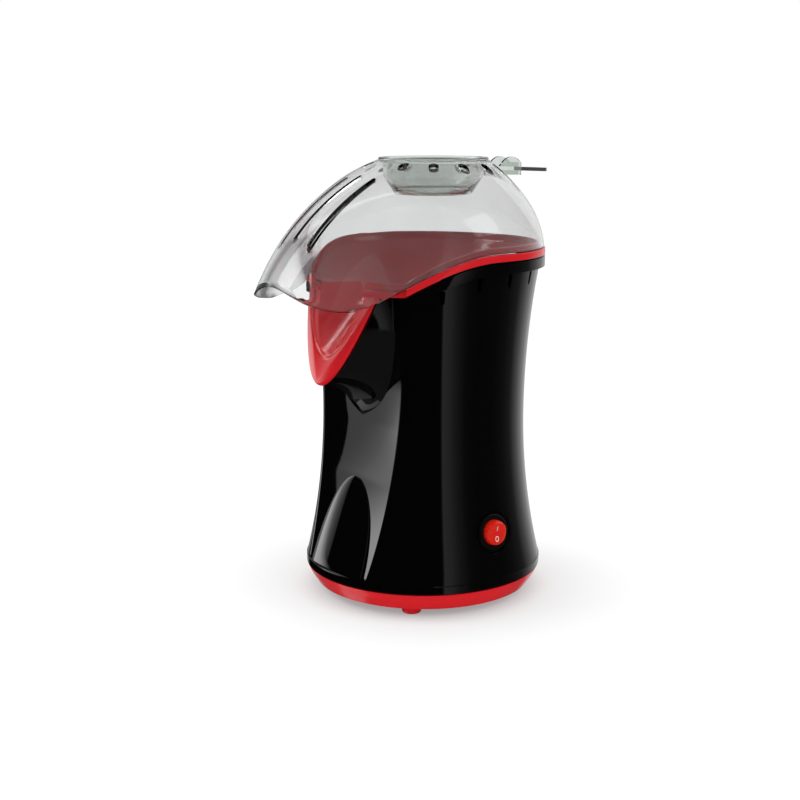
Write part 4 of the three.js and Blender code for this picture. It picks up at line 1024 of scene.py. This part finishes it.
def channel(wall, start, end, top):
    """U-shaped channel along the spout, grown by wall, up to height top."""
    tip_z = spout().tip + CHANNEL_RISE * MM
    tip_y = -flange_depth(tip_z)
    rear_y, rear_z = [part * MM for part in CHANNEL_REAR]
    full = (CHANNEL_HALF_WIDTH * MM + wall) / CHANNEL_SPREAD
    rings = []
    for y in spread(14, start, end):
        slope = (y - tip_y) * (rear_z - tip_z) / (rear_y - tip_y)
        floor = tip_z + slope - SLANTED_WALL * wall
        reach = min((top - floor) / MM * 0.9, (full / MM) ** 2)
        side = CHANNEL_SPREAD * math.sqrt(reach)
        ring = [
            point(t * side * MM, y, floor + (t * side / CHANNEL_SPREAD) ** 2 * MM)
            for t in spread(41, -1, 1)
        ]
        ring += [point((side + 0.5) * MM, y, top), point(-(side + 0.5) * MM, y, top)]
        rings.append(ring)
    return skin(rings)


def flange():
    """The spout's front plate, with a rounded edge of (millimetres in, millimetres deep)."""
    s = spout()
    lean = math.cos(s.lean)
    rounding = [(1.3, 0), (0.75, 0.1), (0.3, 0.4), (0.05, 0.95), (0, 1.6), (0, s.flange / MM)]
    rings = []
    for inset, depth in rounding:
        side = []
        for u in spread(41, 0, 1):
            rise = u**1.8 * (s.top - s.tip)
            width = flange_half_width(s.tip + rise) * (1 - inset * MM / s.bill_half_width)
            side.append(Vector((width, depth * MM, (rise + inset * MM * (1 - u)) / lean)))
        other = [Vector((-p.x, p.y, p.z)) for p in reversed(side[1:])]
        rings.append([flange_place() @ p for p in side + other])
    return skin(rings)


def channel_flare():
    """Rounds the edge where the channel opens through the flange; worked out in millimetres."""
    lean = math.cos(spout().lean)
    size, low = 1.1, CHANNEL_RISE / lean
    rings = []
    for a in spread(7, 0, math.pi / 2):
        depth, grow = size * (1 - math.cos(a)), size * (1 - math.sin(a))
        ring = []
        for x in spread(61, -CHANNEL_HALF_WIDTH, CHANNEL_HALF_WIDTH):
            out = Vector((2 * x / CHANNEL_SPREAD**2, -1)).normalized() * grow
            rise = low + x * x / CHANNEL_SPREAD**2 / lean + out.y + CHANNEL_CLIMB * depth
            ring.append(flange_place() @ Vector(((x + out.x) * MM, depth * MM, rise * MM)))
        rings.append(ring)
    forward = flange_place() @ shifted(y=-3 * MM) @ flange_place().inverted()
    return skin([[forward @ p for p in rings[0]], *rings])


class POPCORN_OT_collar(bpy.types.Operator):
    """Builds the red collar with its band, funnel, spout channel and flange"""

    bl_idname = "popcorn.collar"
    bl_label = "Collar and Spout"

    def execute(self, context):
        s, red = spout(), shaded_collar_red()
        front = -s.tip_reach
        body = channel(s.flange, start=-41.5 * MM, end=front - 4 * MM, top=s.top + 3 * MM)
        body = combine(body, [before_flange(s.flange / 2)], "DIFFERENCE")
        whole = combine(collar_ring(), [body, flange()], "UNION")
        hollow = channel(0, start=-20.25 * MM, end=front - 8 * MM, top=250 * MM)
        whole = combine(whole, [hollow, channel_flare()], "DIFFERENCE")
        finished("collar_and_spout", whole, "housing", red, ["chute_collar"])
        return {"FINISHED"}


# ---------- red base ----------
def base_tray():
    s = housing()
    foot, floor = 5.3 * MM, 7.7 * MM
    low, top, wall = s.base_bottom_radius, s.base_top_radius, s.wall
    middle = low + 0.75 * (top - low)
    dish = turned(
        traced(
            (0, foot),
            (low, foot, (-1.6, 0), (-0.5, 0.4), (0, 1.3)),
            (low + 0.5 * (middle - low), foot, (0, 4.3)),
            (middle, foot, (0, 8)),
            (top, s.base_top, (-0.25, -0.5), (0, -0.15), (-0.25, 0)),
            (top - wall, s.base_top),
            (middle - wall, foot, (0, 8)),
            (low - wall, floor),
            (0, floor),
        ),
        192,
    )
    slots = []
    for x in [i * 8 * MM for i in range(-4, 5)]:
        long = 2 * math.sqrt((40 * MM) ** 2 - x**2)
        slots.append(prism(stadium(3.6 * MM, long), 0, s.base_top, standing() @ shifted(x)))
    holes = []
    for turns, circle, radius, steps in (
        (SCREW_ANGLES, SCREW_CIRCLE, 1.8 * MM, 24),
        (FOOT_ANGLES, FOOT_CIRCLE, 2.9 * MM, 32),
    ):
        holes += [rod(radius, 0, floor + 1 * MM, standing(a, circle), steps) for a in turns]
    return combine(dish, [together(slots), together(holes)], "DIFFERENCE")


FOOT_PROFILE = traced(
    (0, 0, (0, 0), (5, 0), (5.7, 0.3), (6.2, 1), (6.8, 5), (2.6, 5), (2.6, 7.7), (0, 7.7)),
)
SCREW_PROFILE = traced(
    (0, 0, (0, 3.2), (1.8, 3.25), (2.8, 3.8), (3.2, 4.5), (3.2, 5)),
    (0, 0, (1.5, 5), (1.5, 18.8), (0.3, 20), (0, 20)),
)


def base_screw(place):
    long, narrow, low, high = 2 * MM, 0.35 * MM, 2 * MM, 4.4 * MM
    cross = [
        block((-x, -y, low), (x, y, high), place) for x, y in ((long, narrow), (narrow, long))
    ]
    return combine(turned(SCREW_PROFILE, 32, place), cross, "DIFFERENCE")


class POPCORN_OT_base(bpy.types.Operator):
    """Builds the red base tray with its intake slots, its feet and its screws"""

    bl_idname = "popcorn.base"
    bl_label = "Base, Feet and Screws"

    def execute(self, context):
        red, steel = gloss_red(), plain("PlatedSteel")
        finished("base_tray_red", base_tray(), "housing", red, ["base_tray"], 40)
        for i, turn in enumerate(FOOT_ANGLES, 1):
            foot = turned(FOOT_PROFILE, 48, standing(turn, FOOT_CIRCLE))
            finished(f"foot_pad_{i}", foot, "housing", red, [f"foot_{i}"])
        for i, turn in enumerate(SCREW_ANGLES, 1):
            screw, node = base_screw(standing(turn, SCREW_CIRCLE)), f"base_screw_{i}"
            finished(f"cross_screw_{i}", screw, "housing", steel, [node])
        return {"FINISHED"}


# ---------- clear hood ----------
HOLE_PLACES, HOLE_CIRCLE = 14, 42 * MM  # the places at the front and the back stay empty


def hood_foot(turn):
    s = housing()
    h = hood()
    skirt = max(rim_height(turn) + s.band_thickness + s.gap, h.skirt)
    return skirt + h.nose_rise * math.exp(-((from_front(turn) / math.radians(15)) ** 2))


def hood_point(turn, inset, t):
    """A point of the hood's skin, from its top, 0, down to its edge, 1."""
    h = hood()
    front = from_front(turn)
    nose = math.exp(-(abs(front / h.nose_angle) ** 4))
    brow = math.exp(-((front / math.radians(90)) ** 2))
    radius = between(h.shoulder_radius, h.brow_reach, brow)
    height = between(h.shoulder_height, h.brow_height, brow)
    foot = between(h.foot_radius, h.reach, nose)
    top = polar(h.top_radius - 0.3 * inset, turn, h.top - inset, h.mouth_back)
    pull = polar(radius - 1.1 * inset, turn, height - 0.9 * inset)
    return bezier(top, pull, polar(foot - inset, turn, hood_foot(turn)), t)


def handle_frame():
    h = hood()
    start = point(0, h.mouth_back + h.cup_top_radius - h.cup_wall, h.handle_height)
    return Matrix.Translation(start) @ Matrix.Rotation(-h.handle_drop, 4, "X")


def hood_section(turn):
    """A closed section of the hood's wall, from its mouth down to its edge and up again."""
    h = hood()
    outer = [hood_point(turn, 0, t) for t in spread(36, 0, 1)]
    inner = [hood_point(turn, h.wall, t) for t in spread(36, 1, 0)]
    edge = [(outer[-1] + inner[0]) / 2 - Vector((0, 0, 0.25 * MM))]
    outer[-1].z += 0.3 * MM
    inner[0].z += 0.3 * MM
    mouth = h.cup_top_radius + 0.5 * MM
    lip = traced(
        (mouth, h.top - h.wall, (0.2, 0), (0, 0.2)),
        (mouth, h.top, (0, -0.3), (0.3, 0)),
    )
    return outer + edge + inner + [polar(radius, turn, z, h.mouth_back) for radius, z in lip]


def hood_cuts():
    """Six vent holes a side round the mouth, and the three steam slots."""
    h = hood()
    high = 285 * MM
    cuts = []
    for k in range(HOLE_PLACES):
        if k % (HOLE_PLACES // 2):
            turn = k * math.tau / HOLE_PLACES
            place = shifted(y=h.mouth_back) @ standing(turn, HOLE_CIRCLE)
            cuts.append(prism(stadium(6.2 * MM, 7.8 * MM, 16), 257 * MM, high, place))
    for x in (-h.slot_offset, 0, h.slot_offset):
        place = standing() @ shifted(x, -SLOT_MIDDLE)
        cuts.append(prism(stadium(h.slot_width, SLOT_LENGTH), 215 * MM, high, place))
    return together(cuts)


class POPCORN_OT_hood(bpy.types.Operator):
    """Builds the clear hood with its nose, steam slots and vent holes"""

    bl_idname = "popcorn.hood"
    bl_label = "Clear Hood"

    def execute(self, context):
        h = hood()
        dome = skin([hood_section(a) for a in spread(217, 0, math.tau)[:-1]], closed=True)
        half = h.handle_width / 2 + 0.5 * MM
        notch = block((-half, 0, -0.5 * MM), (half, h.handle_reach, h.cup_rim), handle_frame())
        dome = combine(dome, [hood_cuts(), notch], "DIFFERENCE")
        finished("clear_hood", dome, "hood", clear_plastic(), ["hood"], 45)
        return {"FINISHED"}


# ---------- measuring cup ----------
def cup_handle():
    """The flat bar, and the ribs that stand round it at the cup."""
    h = hood()
    half, rib = h.handle_width / 2, 1.6 * MM
    flat = h.handle_reach - h.mouth_back - h.cup_top_radius + h.cup_wall
    run = (flat - h.handle_thickness * math.sin(h.handle_drop)) / math.cos(h.handle_drop)
    tip = [
        (half * math.cos(a), run - half + half * math.sin(a)) for a in spread(25, 0, math.pi)
    ]
    bar = prism([(-half, 0), (half, 0)] + tip, 0, h.handle_thickness, handle_frame())
    near, far, bottom, top = 57 * MM, 77 * MM, 267.4 * MM, 279.2 * MM
    start, end = Vector((near, h.handle_height)), Vector((far, 275.4 * MM))
    pull = Vector(((near + far) / 2, 2 * top - (start.y + end.y) / 2))
    side = [tuple(bezier(start, pull, end, t)) for t in spread(13, 0, 1)]
    side += [(far, bottom), (near, bottom)]
    across = Matrix(((0, 0, 1, 0), (1, 0, 0, 0), (0, 1, 0, 0), (0, 0, 0, 1)))
    cheeks = [prism(side, x, x + rib, standing() @ across) for x in (-half, half - rib)]
    stop = block((-half, far - rib, bottom), (half, far, end.y))
    return [bar, *cheeks, stop]


class POPCORN_OT_cup(bpy.types.Operator):
    """Builds the clear measuring cup with its handle"""

    bl_idname = "popcorn.cup"
    bl_label = "Measuring Cup"

    def execute(self, context):
        h = hood()
        seat, rim = h.top + housing().gap, h.cup_rim
        outer, knee, bottom = h.cup_top_radius, h.cup_knee_radius, h.cup_bottom_radius
        w = h.cup_wall
        bowl = turned(
            traced(
                (0, h.cup_bottom),
                (bottom, h.cup_bottom, (-2, 0), (-0.6, 0.35), (0.3, 1.4)),
                (knee, h.cup_knee, (-0.7, -1.1), (0, 0.4)),
                (outer, seat),
                (h.top_radius, seat),
                (h.top_radius, rim, (0, -0.5), (-0.4, 0)),
                (outer - w, rim, (0.4, 0), (0, -0.4)),
                (knee - w, h.cup_knee, (0, 1), (-0.7, -0.4)),
                (bottom - w, h.cup_bottom + w, (0.2, 1), (-1.4, 0)),
                (0, h.cup_bottom + w),
            ),
            128,
            shifted(y=h.mouth_back) @ standing(),
        )
        cup = combine(bowl, cup_handle(), "UNION")
        finished("clear_cup", cup, "cup", cup_plastic(), ["measuring_cup"], 40)
        return {"FINISHED"}


# ---------- switch and gland ----------
def gland_frame():
    height = 34 * MM
    return wall_frame(housing_radius(height), math.pi, height, math.radians(12))


def tilted(place, turn):
    return place @ Matrix.Rotation(turn, 4, "Y")


def switch_bezel():
    w = switch()
    seat = housing().gap - w.recess_depth
    mouth, rocker = w.rocker_radius + 0.5 * MM, w.rocker_radius
    bezel, barrel = w.bezel_radius, w.barrel_radius
    body = turned(
        traced(
            (0, seat, (0, -14)),
            (barrel, seat, (-0.8, -14), (0, -13.2), (0, 0)),
            (bezel, seat, (0, 0), (0, 1), (-0.15, 1.5), (-0.6, 1.9), (-1.2, 2)),
            (mouth, seat, (0.3, 1.9), (0, 1.6)),
            (mouth, seat - rocker),
            (0, seat - rocker),
        ),
        96,
        switch_frame(),
    )
    half, wide, low, tall = 0.4 * MM, 2.4 * MM, seat - 19 * MM, 6 * MM
    tabs = [
        block((x - half, -wide, low), (x + half, wide, low + tall), switch_frame())
        for x in (-5 * MM, 5 * MM)
    ]
    return combine(body, tabs, "UNION")


def rocker_ball(place, up, down):
    """A ball's end, cut by the two faces of the rocker."""
    r, far = switch().rocker_radius, 20 * MM
    arc = [
        (r * math.cos(a), r * math.sin(a)) for a in spread(28, math.radians(-62), math.radians(38))
    ]
    ball = turned([(0, arc[0][1]), *arc, (0, arc[-1][1])], 72, place)
    cuts = [block((0, -far, 0), (far, far, far), up), block((-far, -far, 0), (0, far, far), down)]
    return soften(combine(ball, cuts, "DIFFERENCE"), 0.35 * MM, 3, 40)


GLAND_PROFILE = traced(
    (0, 0, (2.7, -7), (4.6, -7), (4.6, 0.6), (6.3, 0.6), (6.6, 0.9)),
    (0, 0, (6.5, 1.6), (5.6, 2.6), (4.4, 5.4), (3.9, 6.5), (2.7, 6.5)),
)


class POPCORN_OT_switch(bpy.types.Operator):
    """Builds the round rocker switch with its I and O marks"""

    bl_idname = "popcorn.switch"
    bl_label = "Switch"

    def execute(self, context):
        bezel, black = switch_bezel(), plain("SwitchBlack")
        finished("switch_bezel", bezel, "housing", black, ["switch_body"])
        tilt = switch().rocker_tilt
        place = tilted(switch_frame() @ shifted(z=0.6 * MM), -tilt)
        face = place @ shifted(z=2.3 * MM)
        up, down = tilted(face, -tilt), tilted(face, tilt)
        rocker, plastic = rocker_ball(place, up, down), "rocker_plastic"
        finished("rocker_button", rocker, "rocker", rocker_red(), ["switch_rocker"], 50)
        sunk, proud = -0.2, 0.06
        bar = prism(
            stadium(0.38 * MM, 3.0 * MM, 6),
            sunk * MM,
            proud * MM,
            up @ shifted(3.3 * MM) @ Matrix.Rotation(math.pi / 2, 4, "Z"),
        )
        ring = turned(
            traced((0, 0, (1.3, sunk), (1.75, sunk), (1.75, proud), (1.3, proud))),
            40,
            down @ shifted(-3.6 * MM) @ Matrix.Diagonal((1, 0.8, 1, 1)),
        )
        finished("mark_on", bar, "rocker", plain("MarkWhite"))
        finished("mark_off", ring, "rocker", plain("MarkWhite"))
        gland, matt = turned(GLAND_PROFILE, 48, gland_frame()), plain("MattBlack")
        finished("gland_sleeve", gland, "housing", matt, ["cord_gland"])
        return {"FINISHED"}


# ---------- inside ----------
INNER_FINISHES = {
    "MattBlack": ("chamber_housing", "fan_housing", "fan_impeller", "motor_stand"),
    "PlatedSteel": ("motor", "motor_shaft", "heater_coil"),
    "MicaSheet": ("heater_frame",),
    "CreamCeramic": ("thermostat", "thermal_fuse"),
    "CircuitGreen": ("rectifier_board",),
}


def popping_pot():
    """The spun chamber, with slanted louvres that turn the hot air."""
    r, low, top, rise, wall = 40 * MM, 116 * MM, POT_TOP, 5.5 * MM, 1 * MM
    pot = turned(
        traced(
            (0, low + rise),
            (0.35 * r, low + 0.8 * rise),
            (0.85 * r, low),
            (r, low, (-1, 0)),
            (r + wall, low, (0, 2)),
            (r + wall, top - wall),
            (POT_FLANGE_RADIUS, top - wall),
            (POT_FLANGE_RADIUS, top),
            (r, top, (0.4, 0), (0, -0.4)),
            (r, low, (0, 2.4)),
            (0.86 * r, low + wall),
            (0.36 * r, low + 0.8 * rise + wall),
            (0, low + rise + wall),
        ),
        144,
    )
    slant = Matrix.Rotation(math.radians(38), 4, "Z")
    near, far = (-5.5 * MM, -0.85 * MM, -3 * MM), (5.5 * MM, 0.85 * MM, 4 * MM)
    louvres = [
        block(near, far, wall_frame(r, i * math.tau / 18, 124 * MM) @ slant) for i in range(18)
    ]
    return combine(pot, [together(louvres)], "DIFFERENCE")


class POPCORN_OT_inside(bpy.types.Operator):
    """Builds the popping chamber and gives the inner parts their finishes"""

    bl_idname = "popcorn.inside"
    bl_label = "Chamber and Inner Parts"

    def execute(self, context):
        pot, metal = popping_pot(), plain("SpunAluminium")
        finished("popping_pot", pot, "housing", metal, ["popping_chamber"])
        for finish, inner in INNER_FINISHES.items():
            for node in inner:
                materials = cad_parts[node].data.materials
                materials.clear()
                materials.append(plain(finish))
        return {"FINISHED"}


# ---------- stage ----------
FLOOR_PAINT, FLOOR_SEEN = 0.8, 0.22  # the floor's paint for soft light, and as it is seen
SHADOW_REACH = 0.09
OPEN_GLOW, SHADOW_GLOW = 0.56, 0.28
SOFT_LEVEL = 0.82  # of the soft light all round
# What gloss reflects, by direction, in degrees: turns go round the body and rises go up.
UNDER_BELOW, UNDER_LEVEL = (-26, -33), 0.1  # the room far below the horizon
STREAK_TURNS, STREAK_RISES, STREAK_LEVEL = (-85, -30), (-60, -46), 0.6
PANEL_EDGE = -49.4
PANEL_SLANT, PANEL_CORNER = -0.8, 54  # its lower part's edge rises 0.8 for each degree of turn
PANEL_FOOT, PANEL_JOIN = (-13.4, -11.4), (1.8, 3.8)
ROOM_LEVELS = [
    (-179.9, 0.42),
    (-172, 0.6),
    (-155, 0.78),
    (-140, 0.65),
    (-120, 0.38),
    (-106, 0.3),
    (-100, 0.0),
    (71.5, 0.0),
    (72.5, 0.44),
    (80, 0.34),
    (88, 0.16),
    (99, 0.035),
    (112, 0.012),
    (135, 0.018),
    (152, 0.05),
    (166, 0.11),
    (173, 0.28),
    (179.9, 0.42),
]
LOW_PANEL_LEVELS = list(zip(range(-7, 2), (0.68, 0.75, 0.88, 1.1, 1.6, 2.2, 2.9, 3.4, 3.65)))
HIGH_PANEL_LEVELS = [
    (-68, 2.7),
    (-65, 2.3),
    (-62, 1.6),
    (-60, 1.25),
    (-58, 0.9),
    (-56, 0.5),
    (-54.6, 0.3),
    (-54.2, 0.0),
]
PANEL_FADE_LEVELS = [(-105, 0.0), (-102, 0.1), (-80, 0.12), (-76, 0.3), (-71, 1.0)]
LENS = 60.525
CAMERA_TURN, CAMERA_DISTANCE, CAMERA_HEIGHT = math.radians(51.5), 861.3 * MM, 306.6 * MM
CAMERA_TILT, CAMERA_HEADING = math.radians(78), math.radians(52.51)


def lamp(name, turn, distance, z, size, power):
    """A square area lamp at an angle round the body, facing its middle."""
    data = bpy.data.lights.new(name, "AREA")
    data.shape = "RECTANGLE"
    data.size = data.size_y = size
    data.energy = power
    holder = bpy.data.objects.new(name, data)
    holder.location = polar(distance, turn, z)
    aim = point(0, 0, 0.14) - holder.location
    holder.rotation_euler = aim.to_track_quat("-Z", "Y").to_euler()
    holder.visible_glossy = False
    bpy.context.scene.collection.objects.link(holder)


def pale_floor():
    """White to the camera and through clear plastic, with the object's shadow on it: partly cast
    by the lamps and the soft light, and partly painted into its glow by ambient occlusion.
    """
    pale = bpy.data.materials.new("PaleFloor")
    pale.use_nodes = True
    nodes = Nodes(pale.node_tree)
    seen = nodes.rays("Is Camera Ray", "Is Transmission Ray")
    contact = nodes.new("ShaderNodeAmbientOcclusion", {"Distance": SHADOW_REACH}, samples=8)
    open_share = contact.outputs["AO"]
    # the glow is painted darker where ambient occlusion finds the object near: a painted contact
    # shadow
    glow = nodes("MULTIPLY", nodes("MULTIPLY_ADD", open_share, OPEN_GLOW, SHADOW_GLOW), seen)
    values = {
        "Base Color": nodes.mixed(seen, grey(FLOOR_PAINT), grey(FLOOR_SEEN), "RGBA"),
        "Roughness": 0.9,
        "Specular IOR Level": 0.0,
        "Emission Color": grey(1),
        "Emission Strength": glow,
    }
    for name, value in values.items():
        nodes.feed(pale.node_tree.nodes["Principled BSDF"].inputs[name], value)
    return pale


def floor_disc(radius, material):
    bm = bmesh.new()
    bmesh.ops.create_circle(bm, cap_ends=True, segments=64, radius=radius)
    mesh = bpy.data.meshes.new("floor")
    bm.to_mesh(mesh)
    bm.free()
    mesh.materials.append(material)
    piece = bpy.data.objects.new("floor", mesh)
    piece.visible_glossy = False
    bpy.context.scene.collection.objects.link(piece)


def room_for_gloss(nodes):
    """What gloss reflects: a dim room, a light panel in two parts and a low streak."""
    x, y, z = nodes.parts(nodes.new("ShaderNodeTexCoord").outputs["Generated"])
    turn = nodes("DEGREES", nodes("ARCTAN2", x, nodes("MULTIPLY", y, -1)))
    rise = nodes("DEGREES", nodes("ARCSINE", z))

    round_about = nodes.levels(turn, -180, 180, ROOM_LEVELS)
    room = nodes.mixed(nodes.share(rise, *UNDER_BELOW), round_about, UNDER_LEVEL)

    corner = PANEL_SLANT * PANEL_CORNER
    slant = nodes("ADD", nodes("MULTIPLY_ADD", turn, PANEL_SLANT, corner), rise)
    low_panel = nodes.levels(slant, -8, 8, LOW_PANEL_LEVELS)
    low_panel = nodes("MULTIPLY", low_panel, nodes.share(rise, *PANEL_FOOT))
    high_panel = nodes.levels(turn, -70, -50, HIGH_PANEL_LEVELS)
    panel = nodes.product(
        nodes.mixed(nodes.share(rise, *PANEL_JOIN), low_panel, high_panel),
        nodes.levels(turn, -110, -60, PANEL_FADE_LEVELS),
        nodes("LESS_THAN", turn, PANEL_EDGE),
    )

    (left, right), (low, high) = STREAK_TURNS, STREAK_RISES
    streak = nodes.product(
        nodes("GREATER_THAN", turn, left),
        nodes("LESS_THAN", turn, right),
        nodes("GREATER_THAN", rise, low),
        nodes("LESS_THAN", rise, high),
        STREAK_LEVEL,
    )
    return nodes("ADD", nodes("ADD", panel, room), streak)


def studio_world(scene):
    """White backdrop, even soft light, and for gloss a dim room with light panels round it."""
    scene.world = bpy.data.worlds.new("studio")
    scene.world.use_nodes = True
    scene.world.node_tree.nodes.clear()
    nodes = Nodes(scene.world.node_tree)

    def light(level):
        return nodes.new("ShaderNodeBackground", {"Color": grey(1), "Strength": level}).outputs[0]

    def either(mask, otherwise, masked):
        return nodes.new("ShaderNodeMixShader", {0: mask, 1: otherwise, 2: masked}).outputs[0]

    lit = either(nodes.rays("Is Glossy Ray"), light(SOFT_LEVEL), light(room_for_gloss(nodes)))
    direct = nodes("LESS_THAN", nodes.new("ShaderNodeLightPath").outputs["Diffuse Depth"], 0.5)
    backdrop = nodes("MULTIPLY", nodes.rays("Is Camera Ray", "Is Transmission Ray"), direct)
    nodes.new("ShaderNodeOutputWorld", {"Surface": either(backdrop, lit, light(1.0))})


class POPCORN_OT_stage(bpy.types.Operator):
    """Sets the camera, the pale floor, the world and the lamps"""

    bl_idname = "popcorn.stage"
    bl_label = "Stage"

    def execute(self, context):
        scene = context.scene
        camera = bpy.data.objects.new("camera", bpy.data.cameras.new("camera"))
        camera.data.sensor_width = 36
        camera.data.lens = LENS
        camera.data.clip_end = 50
        camera.location = polar(CAMERA_DISTANCE, CAMERA_TURN, CAMERA_HEIGHT)
        camera.rotation_euler = (CAMERA_TILT, 0, CAMERA_HEADING)
        scene.collection.objects.link(camera)
        scene.camera = camera

        floor_disc(radius=6.0, material=pale_floor())
        studio_world(scene)
        lamp("key", math.radians(-40), distance=1.6, z=1.6, size=1.0, power=16)
        lamp("fill", math.radians(120), distance=1.8, z=1.4, size=1.2, power=12)
        scene.view_settings.view_transform = "Standard"
        return {"FINISHED"}


class POPCORN_PT_panel(bpy.types.Panel):
    """Lists the pieces of the popcorn maker"""

    bl_label = "Popcorn Maker"
    bl_idname = "POPCORN_PT_panel"
    bl_space_type = "VIEW_3D"
    bl_region_type = "UI"
    bl_category = "Popcorn"

    def draw(self, context):
        for operator in OPERATORS:
            self.layout.operator(operator.bl_idname)


OPERATORS = [
    POPCORN_OT_stage,
    POPCORN_OT_housing,
    POPCORN_OT_front_panel,
    POPCORN_OT_collar,
    POPCORN_OT_base,
    POPCORN_OT_hood,
    POPCORN_OT_cup,
    POPCORN_OT_switch,
    POPCORN_OT_inside,
]


def register():
    for group in SETTINGS.values():
        bpy.utils.register_class(group)
    for name, group in SETTINGS.items():
        setattr(bpy.types.Scene, name, PointerProperty(type=group))
    for operator in OPERATORS:
        bpy.utils.register_class(operator)
    bpy.utils.register_class(POPCORN_PT_panel)


def unregister():
    bpy.utils.unregister_class(POPCORN_PT_panel)
    for operator in reversed(OPERATORS):
        bpy.utils.unregister_class(operator)
    for name, group in SETTINGS.items():
        delattr(bpy.types.Scene, name)
        bpy.utils.unregister_class(group)


def main():
    register()
    bpy.ops.popcorn.stage()
    bpy.ops.popcorn.housing()
    bpy.ops.popcorn.front_panel()
    bpy.ops.popcorn.collar()
    bpy.ops.popcorn.base()
    bpy.ops.popcorn.hood()
    bpy.ops.popcorn.cup()
    bpy.ops.popcorn.switch()
    bpy.ops.popcorn.inside()


if __name__ == "__main__":
    main()
